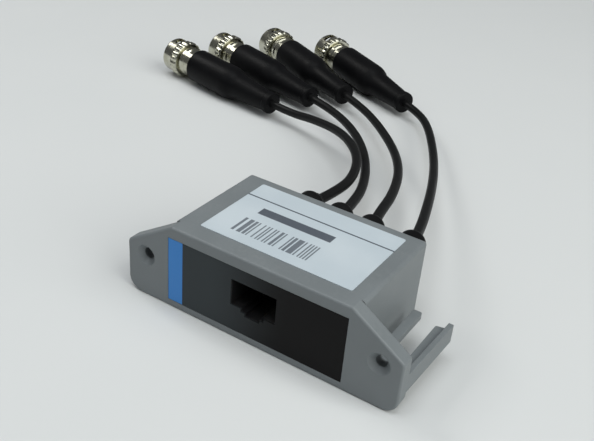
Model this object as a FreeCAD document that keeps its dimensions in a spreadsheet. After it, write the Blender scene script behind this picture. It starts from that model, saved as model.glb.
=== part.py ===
import FreeCAD, Part
import math
import os
import Sketcher

# Video balun: a moulded housing with slanted mounting ears behind a wide front plate, a network
# socket in the front and four coaxial pigtails at the rear, each ending in a bayonet plug.
# Frame: origin at the centre of the housing's footprint, +X to the right, +Y to the rear, +Z up.

Vector = FreeCAD.Vector

SIZES = {
    # Housing
    "FaceWidth": 73.0,
    "FaceThickness": 3.5,
    "FaceFlatWidth": 47.0,
    "EarHeight": 13.7,
    "EarCornerRadius": 3.6,
    "EarTopRadius": 1.2,
    "BodyWidth": 49.4,
    "BodyHeight": 22.0,
    "BodyDepth": 32.8,
    "WallThickness": 1.5,
    "EdgeRadius": 0.9,
    "FaceEdgeRadius": 0.6,
    # Mounting ears
    "ScrewSpacing": 62.0,
    "ScrewHeight": 11.3,
    "ScrewHoleDiameter": 2.8,
    "CountersinkDiameter": 5.4,
    # Forked shelf behind each ear
    "ForkTop": 8.0,
    "ForkThickness": 1.6,
    "ForkWeb": 3.5,
    "ForkGap": 2.2,
    "InnerProngWidth": 2.2,
    "InnerProngLength": 22.1,
    "OuterProngWidth": 3.0,
    "OuterProngLength": 19.7,
    "ProngTipSlant": 0.7,
    "ProngRadius": 0.5,
    "RibWidth": 1.2,
    "RibRise": 1.0,
    "RibDrop": 3.8,
    "RibReach": 1.5,
    "RibFlare": 0.6,
    # Base plate
    "BaseThickness": 1.8,
    "BaseClearance": 0.15,
    "BaseCornerRadius": 0.8,
    "BossDiameter": 5.0,
    "BossInset": 3.0,
    "RearBossSetback": 9.2,
    "PilotDiameter": 2.1,
    "PilotDepth": 9.0,
    "CoverScrewDiameter": 2.0,
    "CoverScrewHoleDiameter": 2.4,
    "CoverScrewHeadDiameter": 4.2,
    "CoverScrewLength": 8.6,
    "CoverScrewSink": 0.15,
    "CoverScrewClearance": 0.05,
    "DriveWidth": 0.5,
    "DriveLength": 2.4,
    "DriveDepth": 0.6,
    # Circuit board
    "BoardWidth": 44.0,
    "BoardFrontGap": 0.9,
    "BoardRearGap": 2.9,
    "BoardThickness": 1.6,
    "PostHeight": 1.9,
    "PostDiameter": 3.4,
    "PostInset": 3.2,
    "PostSpacing": 27.2,
    "BossClearance": 0.4,
    "TransformerPitch": 8.8,
    "TransformerWidth": 6.4,
    "TransformerDepth": 5.2,
    "TransformerHeight": 4.6,
    "TransformerChamfer": 0.5,
    "TransformerGap": 0.8,
    "ArresterLength": 4.0,
    "ArresterSide": 2.2,
    "ArresterPitch": 4.0,
    "ArresterOffset": 13.0,
    "ArresterSetback": 0.9,
    "ArresterBevel": 0.55,
    "LeadDiameter": 2.2,
    "LeadReach": 3.9,
    # Network socket
    "SocketCentre": -0.4,
    "SocketSill": 8.9,
    "SocketWidth": 11.8,
    "SocketHeight": 6.6,
    "LatchWidth": 6.0,
    "LatchDrop": 0.9,
    "KeyWidth": 3.8,
    "KeyDrop": 1.7,
    "JackWidth": 15.9,
    "JackHeadroom": 1.8,
    "JackRearGap": 14.0,
    "JackBackWall": 3.6,
    "JackClearance": 0.2,
    "JackChamfer": 0.5,
    "ContactPitch": 1.02,
    "ContactWidth": 0.45,
    "ContactThickness": 0.3,
    "ContactSetback": 0.9,
    "ContactSeat": 1.4,
    "ContactReach": 7.2,
    "ContactDrop": 1.9,
    # Labels
    "FrontLabelWidth": 47.2,
    "FrontLabelHeight": 17.0,
    "FrontLabelCentre": -0.65,
    "FrontLabelSill": 2.0,
    "FrontLabelThickness": 0.25,
    "RecessDepth": 0.3,
    "LabelMargin": 0.1,
    "WindowMargin": 0.12,
    "TopLabelWidth": 39.6,
    "TopLabelDepth": 25.0,
    "TopLabelCentre": 0.8,
    "TopLabelSetback": 0.9,
    "TopLabelThickness": 0.15,
    "LabelCornerRadius": 0.5,
    # Cable grommets
    "GrommetFirst": -8.5,
    "GrommetPitch": 8.7,
    "LastGrommetGap": 10.9,
    "GrommetDrop": 4.1,
    "GrommetHoleDiameter": 4.3,
    "GrommetNeckDiameter": 4.2,
    "GrommetFlangeDiameter": 6.8,
    "GrommetFlangeLength": 4.6,
    "GrommetRound": 0.9,
    "GrommetShoulder": 0.27,
    "GrommetInnerDiameter": 5.1,
    "GrommetInnerLength": 1.2,
    "GrommetSleeveDiameter": 5.2,
    "GrommetSleeveSink": 1.6,
    "GrommetTipDiameter": 3.6,
    "GrommetTipLength": 3.8,
    # Coaxial cable
    "CableDiameter": 2.7,
    "CableHeadRun": 6.0,
    "CableTailRun": 8.5,
    "FloorClearance": 0.02,
    # Bayonet coupling ring
    "RingDiameter": 13.4,
    "RingFrontDiameter": 12.3,
    "RingLength": 7.8,
    "RingGripLength": 3.2,
    "RingBore": 9.9,
    "RingRearWall": 1.0,
    "RingFit": 0.08,
    "RingChamfer": 0.4,
    "FluteWidth": 1.0,
    "FluteDepth": 0.35,
    "SlotWidth": 2.0,
    "SlotSpan": 3.6,
    "SlotRise": 1.3,
    "SlotSetback": 1.7,
    # Plug body
    "SleeveDiameter": 8.0,
    "SleeveBore": 6.6,
    "SleeveSetback": 0.7,
    "SleeveSlotWidth": 0.5,
    "SleeveSlotDepth": 3.2,
    "ShoulderDiameter": 9.5,
    "ShoulderThickness": 1.0,
    "WasherGap": 0.7,
    "CollarGap": 0.2,
    "CollarDiameter": 10.6,
    "CollarLength": 2.6,
    "CollarRound": 0.5,
    "BarrelDiameter": 9.8,
    "BarrelLength": 2.9,
    "ShankDiameter": 7.2,
    "ShankLength": 8.4,
    "GasketThickness": 0.8,
    "GasketDiameter": 9.3,
    "WasherThickness": 0.5,
    "WasherDiameter": 9.2,
    "WasherPlay": 0.1,
    "InsulatorDiameter": 4.8,
    "InsulatorReach": 3.0,
    "InsulatorFit": 0.04,
    "PinDiameter": 1.35,
    "PinReach": 4.6,
    "PinPoint": 0.34,
    # Cable boot
    "BootDiameter": 12.0,
    "BootMouthDiameter": 11.4,
    "BootBarrelLength": 18.4,
    "BootShoulderDiameter": 9.3,
    "BootShoulderLength": 4.6,
    "BootShoulderDrop": 0.34,
    "BootShoulderCrown": 2.1,
    "BootTaperDiameter": 7.0,
    "BootTaperLength": 14.6,
    "BootCollarDiameter": 7.6,
    "BootCollarLength": 2.2,
    "BootFit": 0.03,
}

CHANNELS = 4
CONTACTS = 8
FLUTES = 20
BAYONET_SLOTS = 2
SLEEVE_SLOTS = 4

# Centre of each coupling ring on the floor, and its plug's heading and turn in degrees.
PLUGS = [
    (-114.2, 97.5, 168.5, 95.0),
    (-106.4, 115.0, 164.2, 100.0),
    (-95.5, 133.8, 154.2, 95.0),
    (-75.1, 143.1, 153.1, 80.0),
]

# How far each grommet's tip leans to the left and down, in degrees.
LEANS = [(-1.0, 9.0), (12.0, 11.0), (15.5, 6.5), (13.5, 9.5)]

# Bends of each cable between its straight runs out of the grommet and into the boot.
BENDS = [
    [(-8.9, 38.2, 14.6), (-13.7, 54.2, 13.6), (-26.5, 70.3, 12.3), (-46.9, 82.1, 9.6)],
    [(-5.7, 42.3, 13.4), (-14.2, 60.6, 10.3), (-25.1, 77.1, 8.0), (-37.4, 89.9, 6.5)],
    [(3.3, 42.2, 14.8), (-3.6, 60.8, 11.9), (-14.6, 79.2, 8.7), (-30.7, 97.5, 6.6)],
    [(13.5, 41.8, 14.2), (6.3, 62.6, 10.9), (-2.4, 83.2, 7.9), (-14.1, 104.6, 6.6)],
]


class Length:
    """A size of the sheet, or a sum or share of sizes, with its value and its expression."""

    def __init__(self, text, value):
        self.text = text
        self.value = float(value)

    def combine(self, sign, other, value):
        return Length("(%s %s %s)" % (self.text, sign, other.text), value)

    def __add__(self, other):
        other = as_length(other)
        return self.combine("+", other, self.value + other.value)

    def __radd__(self, other):
        return as_length(other) + self

    def __sub__(self, other):
        other = as_length(other)
        return self.combine("-", other, self.value - other.value)

    def __rsub__(self, other):
        return as_length(other) - self

    def __mul__(self, other):
        other = as_length(other)
        return self.combine("*", other, self.value * other.value)

    def __truediv__(self, other):
        other = as_length(other)
        return self.combine("/", other, self.value / other.value)

    def __neg__(self):
        return Length("(0 - %s)" % self.text, -self.value)


def as_length(item):
    """A plain number as a Length, or the Length itself."""
    if isinstance(item, Length):
        return item
    return Length("%.6g" % item, item)


doc = FreeCAD.newDocument("video_balun")
sheet = doc.addObject("Spreadsheet::Sheet", "Sizes")
for row, (alias, number) in enumerate(SIZES.items(), start=1):
    sheet.set("A%d" % row, alias)
    sheet.set("B%d" % row, "%.6g" % number)
    sheet.setAlias("B%d" % row, alias)
doc.recompute()

ZERO = as_length(0.0)
subparts = []


def size(alias):
    """The sheet's size of that name."""
    return Length("Sizes." + alias, sheet.get(alias))


def bind(item, name, length):
    """Tie a property of an object to the sheet."""
    item.setExpression(name, as_length(length).text)


def new_body(name):
    """A body that becomes one sub-part."""
    body = doc.addObject("PartDesign::Body", name)
    body.Label = name
    subparts.append(body)
    return body


def origin_item(body, role):
    """The plane or axis of that role in the body's own origin."""
    return [item for item in body.Origin.OriginFeatures if item.Role == role][0]


def sketch_on(body, name, role, offset=ZERO):
    """A sketch on one of the body's origin planes, moved along the plane's normal."""
    sketch = body.newObject("Sketcher::SketchObject", name)
    sketch.AttachmentSupport = [(origin_item(body, role), "")]
    sketch.MapMode = "FlatFace"
    if offset is not ZERO:
        bind(sketch, "AttachmentOffset.Base.z", offset)
    return sketch


def pin(sketch, geometry, point, x, y):
    """Hold a point of a sketch at two sheet lengths from the sketch's origin."""
    for kind, axis, length in (("DistanceX", -2, as_length(x)), ("DistanceY", -1, as_length(y))):
        if length is ZERO or length.text == "0":
            sketch.addConstraint(Sketcher.Constraint("PointOnObject", geometry, point, axis))
        else:
            index = sketch.addConstraint(Sketcher.Constraint(kind, -1, 1, geometry, point, length.value))
            bind(sketch, "Constraints[%d]" % index, length)


def outline(sketch, points):
    """A closed outline through points whose coordinates are sheet lengths."""
    corners = [(as_length(x), as_length(y)) for x, y in points]
    count = len(corners)
    first = sketch.GeometryCount
    for k in range(count):
        start = Vector(corners[k][0].value, corners[k][1].value, 0)
        end = Vector(corners[(k + 1) % count][0].value, corners[(k + 1) % count][1].value, 0)
        sketch.addGeometry(Part.LineSegment(start, end), False)
    for k in range(count):
        sketch.addConstraint(Sketcher.Constraint("Coincident", first + k, 2, first + (k + 1) % count, 1))
    for k in range(count):
        pin(sketch, first + k, 1, corners[k][0], corners[k][1])


def rectangle(sketch, left, right, low, high):
    """A rectangle between four sheet lengths."""
    outline(sketch, [(left, low), (right, low), (right, high), (left, high)])


def circle(sketch, x, y, diameter):
    """A circle with its centre and diameter tied to the sheet."""
    centre = Vector(as_length(x).value, as_length(y).value, 0)
    index = sketch.addGeometry(Part.Circle(centre, Vector(0, 0, 1), diameter.value / 2), False)
    pin(sketch, index, 3, x, y)
    rule = sketch.addConstraint(Sketcher.Constraint("Diameter", index, diameter.value))
    bind(sketch, "Constraints[%d]" % rule, diameter)


def slanted_slot(sketch, top, rise, span, width):
    """A round-ended slot that falls by its rise over its span, astride the sketch's upright axis."""
    high = Vector(-span.value / 2, top.value, 0)
    low = Vector(span.value / 2, top.value - rise.value, 0)
    ahead = (low - high).normalize() * (width.value / 2)
    above = Vector(-ahead.y, ahead.x, 0)
    first = sketch.GeometryCount
    sketch.addGeometry([
        Part.LineSegment(high - above, low - above),
        Part.Arc(low - above, low + ahead, low + above),
        Part.LineSegment(low + above, high + above),
        Part.Arc(high + above, high - ahead, high - above),
    ], False)
    for step in range(4):
        following = first + (step + 1) % 4
        sketch.addConstraint(Sketcher.Constraint("Tangent", first + step, 2, following, 1))
    sketch.addConstraint(Sketcher.Constraint("Equal", first + 1, first + 3))
    rule = sketch.addConstraint(Sketcher.Constraint("Radius", first + 1, width.value / 2))
    bind(sketch, "Constraints[%d]" % rule, width / 2)
    pin(sketch, first + 1, 3, span / 2, top - rise)
    pin(sketch, first + 3, 3, -span / 2, top)


def settle(feature):
    """Recompute, and stop if the feature could not be made."""
    doc.recompute()
    if "Invalid" in feature.State or not feature.Shape.isValid():
        raise RuntimeError("failed: " + feature.Name)
    return feature


def pad(body, sketch, length, backwards=False):
    """Add the sketch's outline, drawn out along or against its normal."""
    feature = body.newObject("PartDesign::Pad", sketch.Name + "Pad")
    feature.Profile = sketch
    bind(feature, "Length", length)
    feature.Reversed = backwards
    return settle(feature)


def pocket(body, sketch, length, backwards=False):
    """Cut the sketch's outline out of the body, and make sure that it took material away."""
    before = body.Shape.Volume
    feature = body.newObject("PartDesign::Pocket", sketch.Name + "Pocket")
    feature.Profile = sketch
    bind(feature, "Length", length)
    feature.Reversed = backwards
    settle(feature)
    if body.Shape.Volume > before - 1e-3:
        raise RuntimeError("no cut: " + feature.Name)
    return feature


def edges_where(feature, test):
    """Names of the feature's edges whose middle point and ends pass the test."""
    names = []
    for index, edge in enumerate(feature.Shape.Edges, start=1):
        if test(edge):
            names.append("Edge%d" % index)
    if not names:
        raise RuntimeError("no edge found on " + feature.Name)
    return names


def soften(body, base, test, amount, kind="Fillet"):
    """Round or chamfer the edges of the body that pass the test."""
    feature = body.newObject("PartDesign::" + kind, base.Name + kind)
    feature.Base = (base, edges_where(base, test))
    bind(feature, "Radius" if kind == "Fillet" else "Size", amount)
    return settle(feature)


def middle(edge):
    """The point halfway along an edge."""
    return edge.valueAt((edge.FirstParameter + edge.LastParameter) / 2)


def near(value, length):
    """Whether a coordinate lies at a sheet length."""
    return abs(value - as_length(length).value) < 1e-3


def along(edge, axis):
    """Whether an edge is straight and runs along the given axis."""
    box = edge.BoundBox
    spans = Vector(box.XLength, box.YLength, box.ZLength)
    return spans.dot(axis) > 1e-3 and spans.Length - spans.dot(axis) < 1e-5


def ring_edge(edge, diameter):
    """Whether an edge is a full circle of a sheet diameter."""
    box = edge.BoundBox
    return len(edge.Vertexes) == 1 and abs(box.DiagonalLength - diameter.value * math.sqrt(2)) < 1e-3


X_AXIS = Vector(1, 0, 0)
Y_AXIS = Vector(0, 1, 0)
Z_AXIS = Vector(0, 0, 1)


def revolved(name, points, place=None):
    """A body turned about its own Z axis from points given as (radius, height)."""
    body = new_body(name)
    sketch = sketch_on(body, name + "_profile", "XZ_Plane")
    outline(sketch, points)
    feature = body.newObject("PartDesign::Revolution", name + "_turned")
    feature.Profile = sketch
    feature.ReferenceAxis = (sketch, ["V_Axis"])
    feature.Angle = 360
    if place is not None:
        body.Placement = place
    settle(feature)
    return body


def turned_copies(body, feature, name, count):
    """Repeat a cut of the body evenly about its own Z axis."""
    before = body.Shape.Volume
    pattern = body.newObject("PartDesign::PolarPattern", name)
    pattern.Originals = [feature]
    pattern.Axis = (origin_item(body, "Z_Axis"), [""])
    pattern.Angle = 360
    pattern.Occurrences = count
    body.Tip = pattern
    settle(pattern)
    if body.Shape.Volume > before - 1e-3:
        raise RuntimeError("no copies: " + name)


# Places shared by several pieces
half_depth = size("BodyDepth") / 2
half_face = size("FaceWidth") / 2
half_body = size("BodyWidth") / 2
face_back = half_depth - size("FaceThickness")
inner_half = half_body - size("WallThickness")
inner_rear = half_depth - size("WallThickness")
ceiling = size("BodyHeight") - size("WallThickness")
boss_x = inner_half - size("BossInset")
boss_front = face_back - size("BossInset")
boss_rear = inner_rear - size("RearBossSetback")
boss_places = [(side, row) for side in (-1, 1) for row in (0, 1)]
board_bottom = size("BaseThickness") + size("PostHeight")
board_top = board_bottom + size("BoardThickness")
recess_floor = half_depth - size("RecessDepth")
board_front = size("BoardFrontGap") - face_back
board_rear = inner_rear - size("BoardRearGap")
jack_back = inner_rear - size("JackRearGap")
jack_depth = recess_floor + jack_back
jack_height = ceiling - board_top - size("JackHeadroom")
grommet_height = size("BodyHeight") - size("GrommetDrop")
socket_left = size("SocketCentre") - size("SocketWidth") / 2
socket_right = size("SocketCentre") + size("SocketWidth") / 2
socket_top = size("SocketSill") + size("SocketHeight")


def boss_point(place):
    """Centre of one of the four screw bosses."""
    side, row = place
    return boss_x * side, (boss_rear if row else -boss_front)


def grommet_x(channel):
    """Sideways place of a channel's grommet, counted from 0; the last stands further off."""
    if channel < CHANNELS - 1:
        return size("GrommetFirst") + size("GrommetPitch") * channel
    return size("GrommetFirst") + size("GrommetPitch") * (CHANNELS - 2) + size("LastGrommetGap")


def socket_outline(margin):
    """Outline of the socket's mouth with its stepped latch slot, grown by a margin."""
    centre = size("SocketCentre")
    latch = size("LatchWidth") / 2 + margin
    key = size("KeyWidth") / 2 + margin
    sill = size("SocketSill") - margin
    step = sill - size("LatchDrop")
    low = sill - size("KeyDrop")
    return [
        (socket_left - margin, socket_top + margin),
        (socket_left - margin, sill),
        (centre - latch, sill),
        (centre - latch, step),
        (centre - key, step),
        (centre - key, low),
        (centre + key, low),
        (centre + key, step),
        (centre + latch, step),
        (centre + latch, sill),
        (socket_right + margin, sill),
        (socket_right + margin, socket_top + margin),
    ]


def make_cover():
    """The moulded housing: front plate with ears and forks, roof, sides and rear wall."""
    body = new_body("top_cover")
    box = sketch_on(body, "cover_box", "XZ_Plane", face_back)
    rectangle(box, -half_body, half_body, ZERO, size("BodyHeight"))
    block = pad(body, box, size("BodyDepth") - size("FaceThickness"), backwards=True)

    def box_edge(edge):
        point = middle(edge)
        rear = near(point.y, half_depth)
        side = near(abs(point.x), half_body)
        roof = near(point.z, size("BodyHeight"))
        return (rear and side and along(edge, Z_AXIS)) or (roof and side) or (roof and rear)

    soften(body, block, box_edge, size("EdgeRadius"))

    hollow = sketch_on(body, "cover_hollow", "XY_Plane")
    rectangle(hollow, -inner_half, inner_half, -face_back, inner_rear)
    pocket(body, hollow, ceiling, backwards=True)

    face = sketch_on(body, "cover_face", "XZ_Plane", face_back)
    flat = size("FaceFlatWidth") / 2
    outline(face, [
        (-half_face, ZERO),
        (half_face, ZERO),
        (half_face, size("EarHeight")),
        (flat, size("BodyHeight")),
        (-flat, size("BodyHeight")),
        (-half_face, size("EarHeight")),
    ])
    plate = pad(body, face, size("FaceThickness"))

    def bottom_corner(edge):
        point = middle(edge)
        return along(edge, Y_AXIS) and near(point.z, 0) and near(abs(point.x), half_face)

    def ear_shoulder(edge):
        point = middle(edge)
        return along(edge, Y_AXIS) and near(point.z, size("EarHeight"))

    plate = soften(body, plate, bottom_corner, size("EarCornerRadius"))
    plate = soften(body, plate, ear_shoulder, size("EarTopRadius"))

    def front_rim(edge):
        return near(edge.BoundBox.YMin, -half_depth) and near(edge.BoundBox.YMax, -half_depth)

    soften(body, plate, front_rim, size("FaceEdgeRadius"))

    bosses = sketch_on(body, "cover_bosses", "XY_Plane", size("BaseThickness"))
    pilots = sketch_on(body, "cover_pilots", "XY_Plane", size("BaseThickness"))
    for place in boss_places:
        x, y = boss_point(place)
        circle(bosses, x, y, size("BossDiameter"))
        circle(pilots, x, y, size("PilotDiameter"))
    pad(body, bosses, ceiling - size("BaseThickness"))
    pocket(body, pilots, size("PilotDepth"), backwards=True)

    # Forked shelves behind the ears, with an upright rib along each outer prong.
    root = size("FaceEdgeRadius")
    inner_start = half_body + size("ForkGap")
    inner_end = inner_start + size("InnerProngWidth")
    inner_tip = -face_back + size("InnerProngLength")
    outer_start = half_face - size("OuterProngWidth")
    outer_tip = -face_back + size("OuterProngLength")
    rib_tip = outer_tip + size("RibReach")
    web = -face_back + size("ForkWeb")
    rib = size("RibWidth")
    flare = size("RibFlare")
    shelf = [
        (half_body, -face_back - root),
        (half_face - rib / 2, -face_back - root),
        (half_face - rib / 2, -face_back),
        (half_face + flare - rib / 2, outer_tip + size("ProngTipSlant")),
        (outer_start, outer_tip),
        (outer_start, web),
        (inner_end, web),
        (inner_end, inner_tip),
        (inner_start, inner_tip),
        (inner_start, web),
        (half_body, web),
    ]
    upright = [
        (half_face - rib, -face_back - root),
        (half_face, -face_back - root),
        (half_face, -face_back),
        (half_face + flare, rib_tip),
        (half_face + flare - rib, rib_tip),
        (half_face - rib, -face_back),
    ]
    forks = sketch_on(body, "cover_forks", "XY_Plane", size("ForkTop") - size("ForkThickness"))
    ribs = sketch_on(body, "cover_ribs", "XY_Plane", size("ForkTop") - size("RibDrop"))
    for drawing, points in ((forks, shelf), (ribs, upright)):
        outline(drawing, points)
        outline(drawing, [(-x, y) for x, y in reversed(points)])
    shelves = pad(body, forks, size("ForkThickness"))

    def prong_tip(edge):
        point = middle(edge)
        free = near(point.y, inner_tip) or near(point.y, outer_tip)
        bottom = near(edge.BoundBox.ZMin, size("ForkTop") - size("ForkThickness"))
        return along(edge, Z_AXIS) and bottom and free

    soften(body, shelves, prong_tip, size("ProngRadius"))
    pad(body, ribs, size("RibDrop") + size("RibRise"))

    # Openings of the front plate and the rear wall.
    mouth = sketch_on(body, "cover_mouth", "XZ_Plane", half_depth)
    gap = size("JackClearance")
    jack_low = board_top
    rectangle(mouth, size("SocketCentre") - size("JackWidth") / 2 - gap,
              size("SocketCentre") + size("JackWidth") / 2 + gap,
              jack_low - gap, jack_low + jack_height + gap)
    pocket(body, mouth, size("FaceThickness"))
    recess = sketch_on(body, "cover_recess", "XZ_Plane", half_depth)
    margin = size("LabelMargin")
    label_left = size("FrontLabelCentre") - size("FrontLabelWidth") / 2
    rectangle(recess, label_left - margin, label_left + size("FrontLabelWidth") + margin,
              size("FrontLabelSill") - margin, size("FrontLabelSill") + size("FrontLabelHeight") + margin)
    pocket(body, recess, size("RecessDepth"))
    exits = sketch_on(body, "cover_exits", "XZ_Plane", -inner_rear)
    for channel in range(CHANNELS):
        circle(exits, grommet_x(channel), grommet_height, size("GrommetHoleDiameter"))
    pocket(body, exits, size("WallThickness"))
    screws = sketch_on(body, "cover_ear_holes", "XZ_Plane", half_depth)
    for side in (-1, 1):
        circle(screws, size("ScrewSpacing") / 2 * side, size("ScrewHeight"), size("ScrewHoleDiameter"))
    holes = pocket(body, screws, size("FaceThickness"))

    def countersink(edge):
        box = edge.BoundBox
        return ring_edge(edge, size("ScrewHoleDiameter")) and near(box.YMax, -half_depth)

    depth = (size("CountersinkDiameter") - size("ScrewHoleDiameter")) / 2
    soften(body, holes, countersink, depth, kind="Chamfer")


def make_base():
    """The plate that closes the housing from below and carries the circuit board."""
    body = new_body("base_plate")
    gap = size("BaseClearance")
    plan = sketch_on(body, "base_plan", "XY_Plane")
    rectangle(plan, gap - inner_half, inner_half - gap, gap - face_back, inner_rear - gap)
    plate = pad(body, plan, size("BaseThickness"))
    soften(body, plate, lambda edge: along(edge, Z_AXIS), size("BaseCornerRadius"))
    posts = sketch_on(body, "base_posts", "XY_Plane", size("BaseThickness"))
    for side in (-1, 1):
        for y in (board_front + size("PostInset"), board_rear - size("PostInset")):
            circle(posts, size("PostSpacing") / 2 * side, y, size("PostDiameter"))
    pad(body, posts, size("PostHeight"))
    holes = sketch_on(body, "base_holes", "XY_Plane")
    for place in boss_places:
        x, y = boss_point(place)
        circle(holes, x, y, size("CoverScrewHoleDiameter"))
    cut = pocket(body, holes, size("BaseThickness"), backwards=True)

    def seat(edge):
        return ring_edge(edge, size("CoverScrewHoleDiameter")) and near(edge.BoundBox.ZMax, 0)

    sink = ((size("CoverScrewHeadDiameter") - size("CoverScrewHoleDiameter")) / 2
            + size("CoverScrewSink") + size("CoverScrewClearance"))
    soften(body, cut, seat, sink, kind="Chamfer")


def make_board():
    """The circuit board, notched round the cover's bosses."""
    body = new_body("circuit_board")
    plan = sketch_on(body, "board_plan", "XY_Plane", board_bottom)
    half_width = size("BoardWidth") / 2
    rectangle(plan, -half_width, half_width, board_front, board_rear)
    pad(body, plan, size("BoardThickness"))
    notches = sketch_on(body, "board_notches", "XY_Plane", board_bottom)
    for place in boss_places:
        x, y = boss_point(place)
        circle(notches, x, y, size("BossDiameter") + size("BossClearance") * 2)
    pocket(body, notches, size("BoardThickness"), backwards=True)


def make_labels():
    """The front label with its socket window, and the label on the roof."""
    front = new_body("front_label")
    shape = sketch_on(front, "front_label_outline", "XZ_Plane", recess_floor)
    left = size("FrontLabelCentre") - size("FrontLabelWidth") / 2
    rectangle(shape, left, left + size("FrontLabelWidth"),
              size("FrontLabelSill"), size("FrontLabelSill") + size("FrontLabelHeight"))
    outline(shape, socket_outline(size("WindowMargin")))
    pad(front, shape, size("FrontLabelThickness"))

    roof = new_body("top_label")
    shape = sketch_on(roof, "top_label_outline", "XY_Plane", size("BodyHeight"))
    half_width = size("TopLabelWidth") / 2
    half_length = size("TopLabelDepth") / 2
    rectangle(shape, size("TopLabelCentre") - half_width, size("TopLabelCentre") + half_width,
              size("TopLabelSetback") - half_length, size("TopLabelSetback") + half_length)
    sheet_pad = pad(roof, shape, size("TopLabelThickness"))
    soften(roof, sheet_pad, lambda edge: along(edge, Z_AXIS), size("LabelCornerRadius"))


def make_jack():
    """The network socket and its eight spring contacts."""
    body = new_body("jack_shell")
    centre = size("SocketCentre")
    shell = sketch_on(body, "jack_block", "XZ_Plane", recess_floor)
    rectangle(shell, centre - size("JackWidth") / 2, centre + size("JackWidth") / 2,
              board_top, board_top + jack_height)
    block = pad(body, shell, jack_depth, backwards=True)

    def rear_edge(edge):
        point = middle(edge)
        return near(point.y, jack_back) and not near(point.z, board_top)

    soften(body, block, rear_edge, size("JackChamfer"), kind="Chamfer")
    mouth = sketch_on(body, "jack_mouth", "XZ_Plane", recess_floor)
    outline(mouth, socket_outline(ZERO))
    pocket(body, mouth, jack_depth - size("JackBackWall"))

    # Each contact lies against the roof of the mouth and springs down towards the back.
    wires = new_body("jack_contacts")
    first = centre - size("ContactPitch") * ((CONTACTS - 1) / 2) - size("ContactWidth") / 2
    front = size("ContactSetback") - recess_floor
    seat_end = front + size("ContactSeat")
    tip = seat_end + size("ContactReach")
    thick = size("ContactThickness")
    profile = sketch_on(wires, "contact_profile", "YZ_Plane", first)
    outline(profile, [
        (front, socket_top),
        (front, socket_top - thick),
        (seat_end, socket_top - thick),
        (tip, socket_top - size("ContactDrop") - thick),
        (tip, socket_top - size("ContactDrop")),
        (seat_end + thick, socket_top),
    ])
    one = pad(wires, profile, size("ContactWidth"))
    row = wires.newObject("PartDesign::LinearPattern", "contact_row")
    row.Originals = [one]
    row.Direction = (origin_item(wires, "X_Axis"), [""])
    bind(row, "Length", size("ContactPitch") * (CONTACTS - 1))
    row.Occurrences = CONTACTS
    wires.Tip = row
    doc.recompute()


def make_components():
    """The pieces on the circuit board: transformers, surge arresters and the coaxial leads."""
    for channel in range(CHANNELS):
        name = "transformer_%d" % (channel + 1)
        body = new_body(name)
        plan = sketch_on(body, name + "_plan", "XY_Plane", board_top)
        x = size("TransformerPitch") * (channel - (CHANNELS - 1) / 2)
        y = jack_back + size("TransformerGap") + size("TransformerDepth") / 2
        rectangle(plan, x - size("TransformerWidth") / 2, x + size("TransformerWidth") / 2,
                  y - size("TransformerDepth") / 2, y + size("TransformerDepth") / 2)
        block = pad(body, plan, size("TransformerHeight"))
        top = board_top + size("TransformerHeight")
        soften(body, block, lambda edge: near(middle(edge).z, top), size("TransformerChamfer"), kind="Chamfer")

    arresters = []
    for index in range(CHANNELS):
        side = -1 if index % 2 else 1
        row = index // 2
        block = doc.addObject("Part::Box", "arrester_%d" % (index + 1))
        bind(block, "Length", size("ArresterLength"))
        bind(block, "Width", size("ArresterSide"))
        bind(block, "Height", size("ArresterSide"))
        bind(block, "Placement.Base.x",
             size("SocketCentre") + size("ArresterOffset") * side - size("ArresterLength") / 2)
        bind(block, "Placement.Base.y",
             jack_back - size("ArresterSetback") + size("ArresterPitch") * (row - 1) - size("ArresterSide"))
        bind(block, "Placement.Base.z", board_top)
        doc.recompute()
        ends = edges_where(block, lambda edge: along(edge, X_AXIS))
        round_block = doc.addObject("Part::Chamfer", "arrester_%d_body" % (index + 1))
        round_block.Base = block
        bevel = size("ArresterBevel").value
        round_block.Edges = [(int(name[4:]), bevel, bevel) for name in ends]
        arresters.append(round_block)
    group = doc.addObject("Part::Compound", "surge_arresters")
    group.Label = "surge_arresters"
    group.Links = arresters
    subparts.append(group)

    radius = size("LeadDiameter").value / 2
    start_y = (inner_rear - size("GrommetInnerLength")).value
    corner_y = start_y - size("LeadReach").value
    leads = []
    for channel in range(CHANNELS):
        x = grommet_x(channel).value
        height = grommet_height.value
        route = [Vector(x, start_y, height), Vector(x, corner_y, height), Vector(x, corner_y, board_top.value)]
        leads.append(tube(route, radius)[0])
    group = doc.addObject("Part::Feature", "inner_leads")
    group.Label = "inner_leads"
    group.Shape = Part.Compound(leads)
    subparts.append(group)


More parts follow.
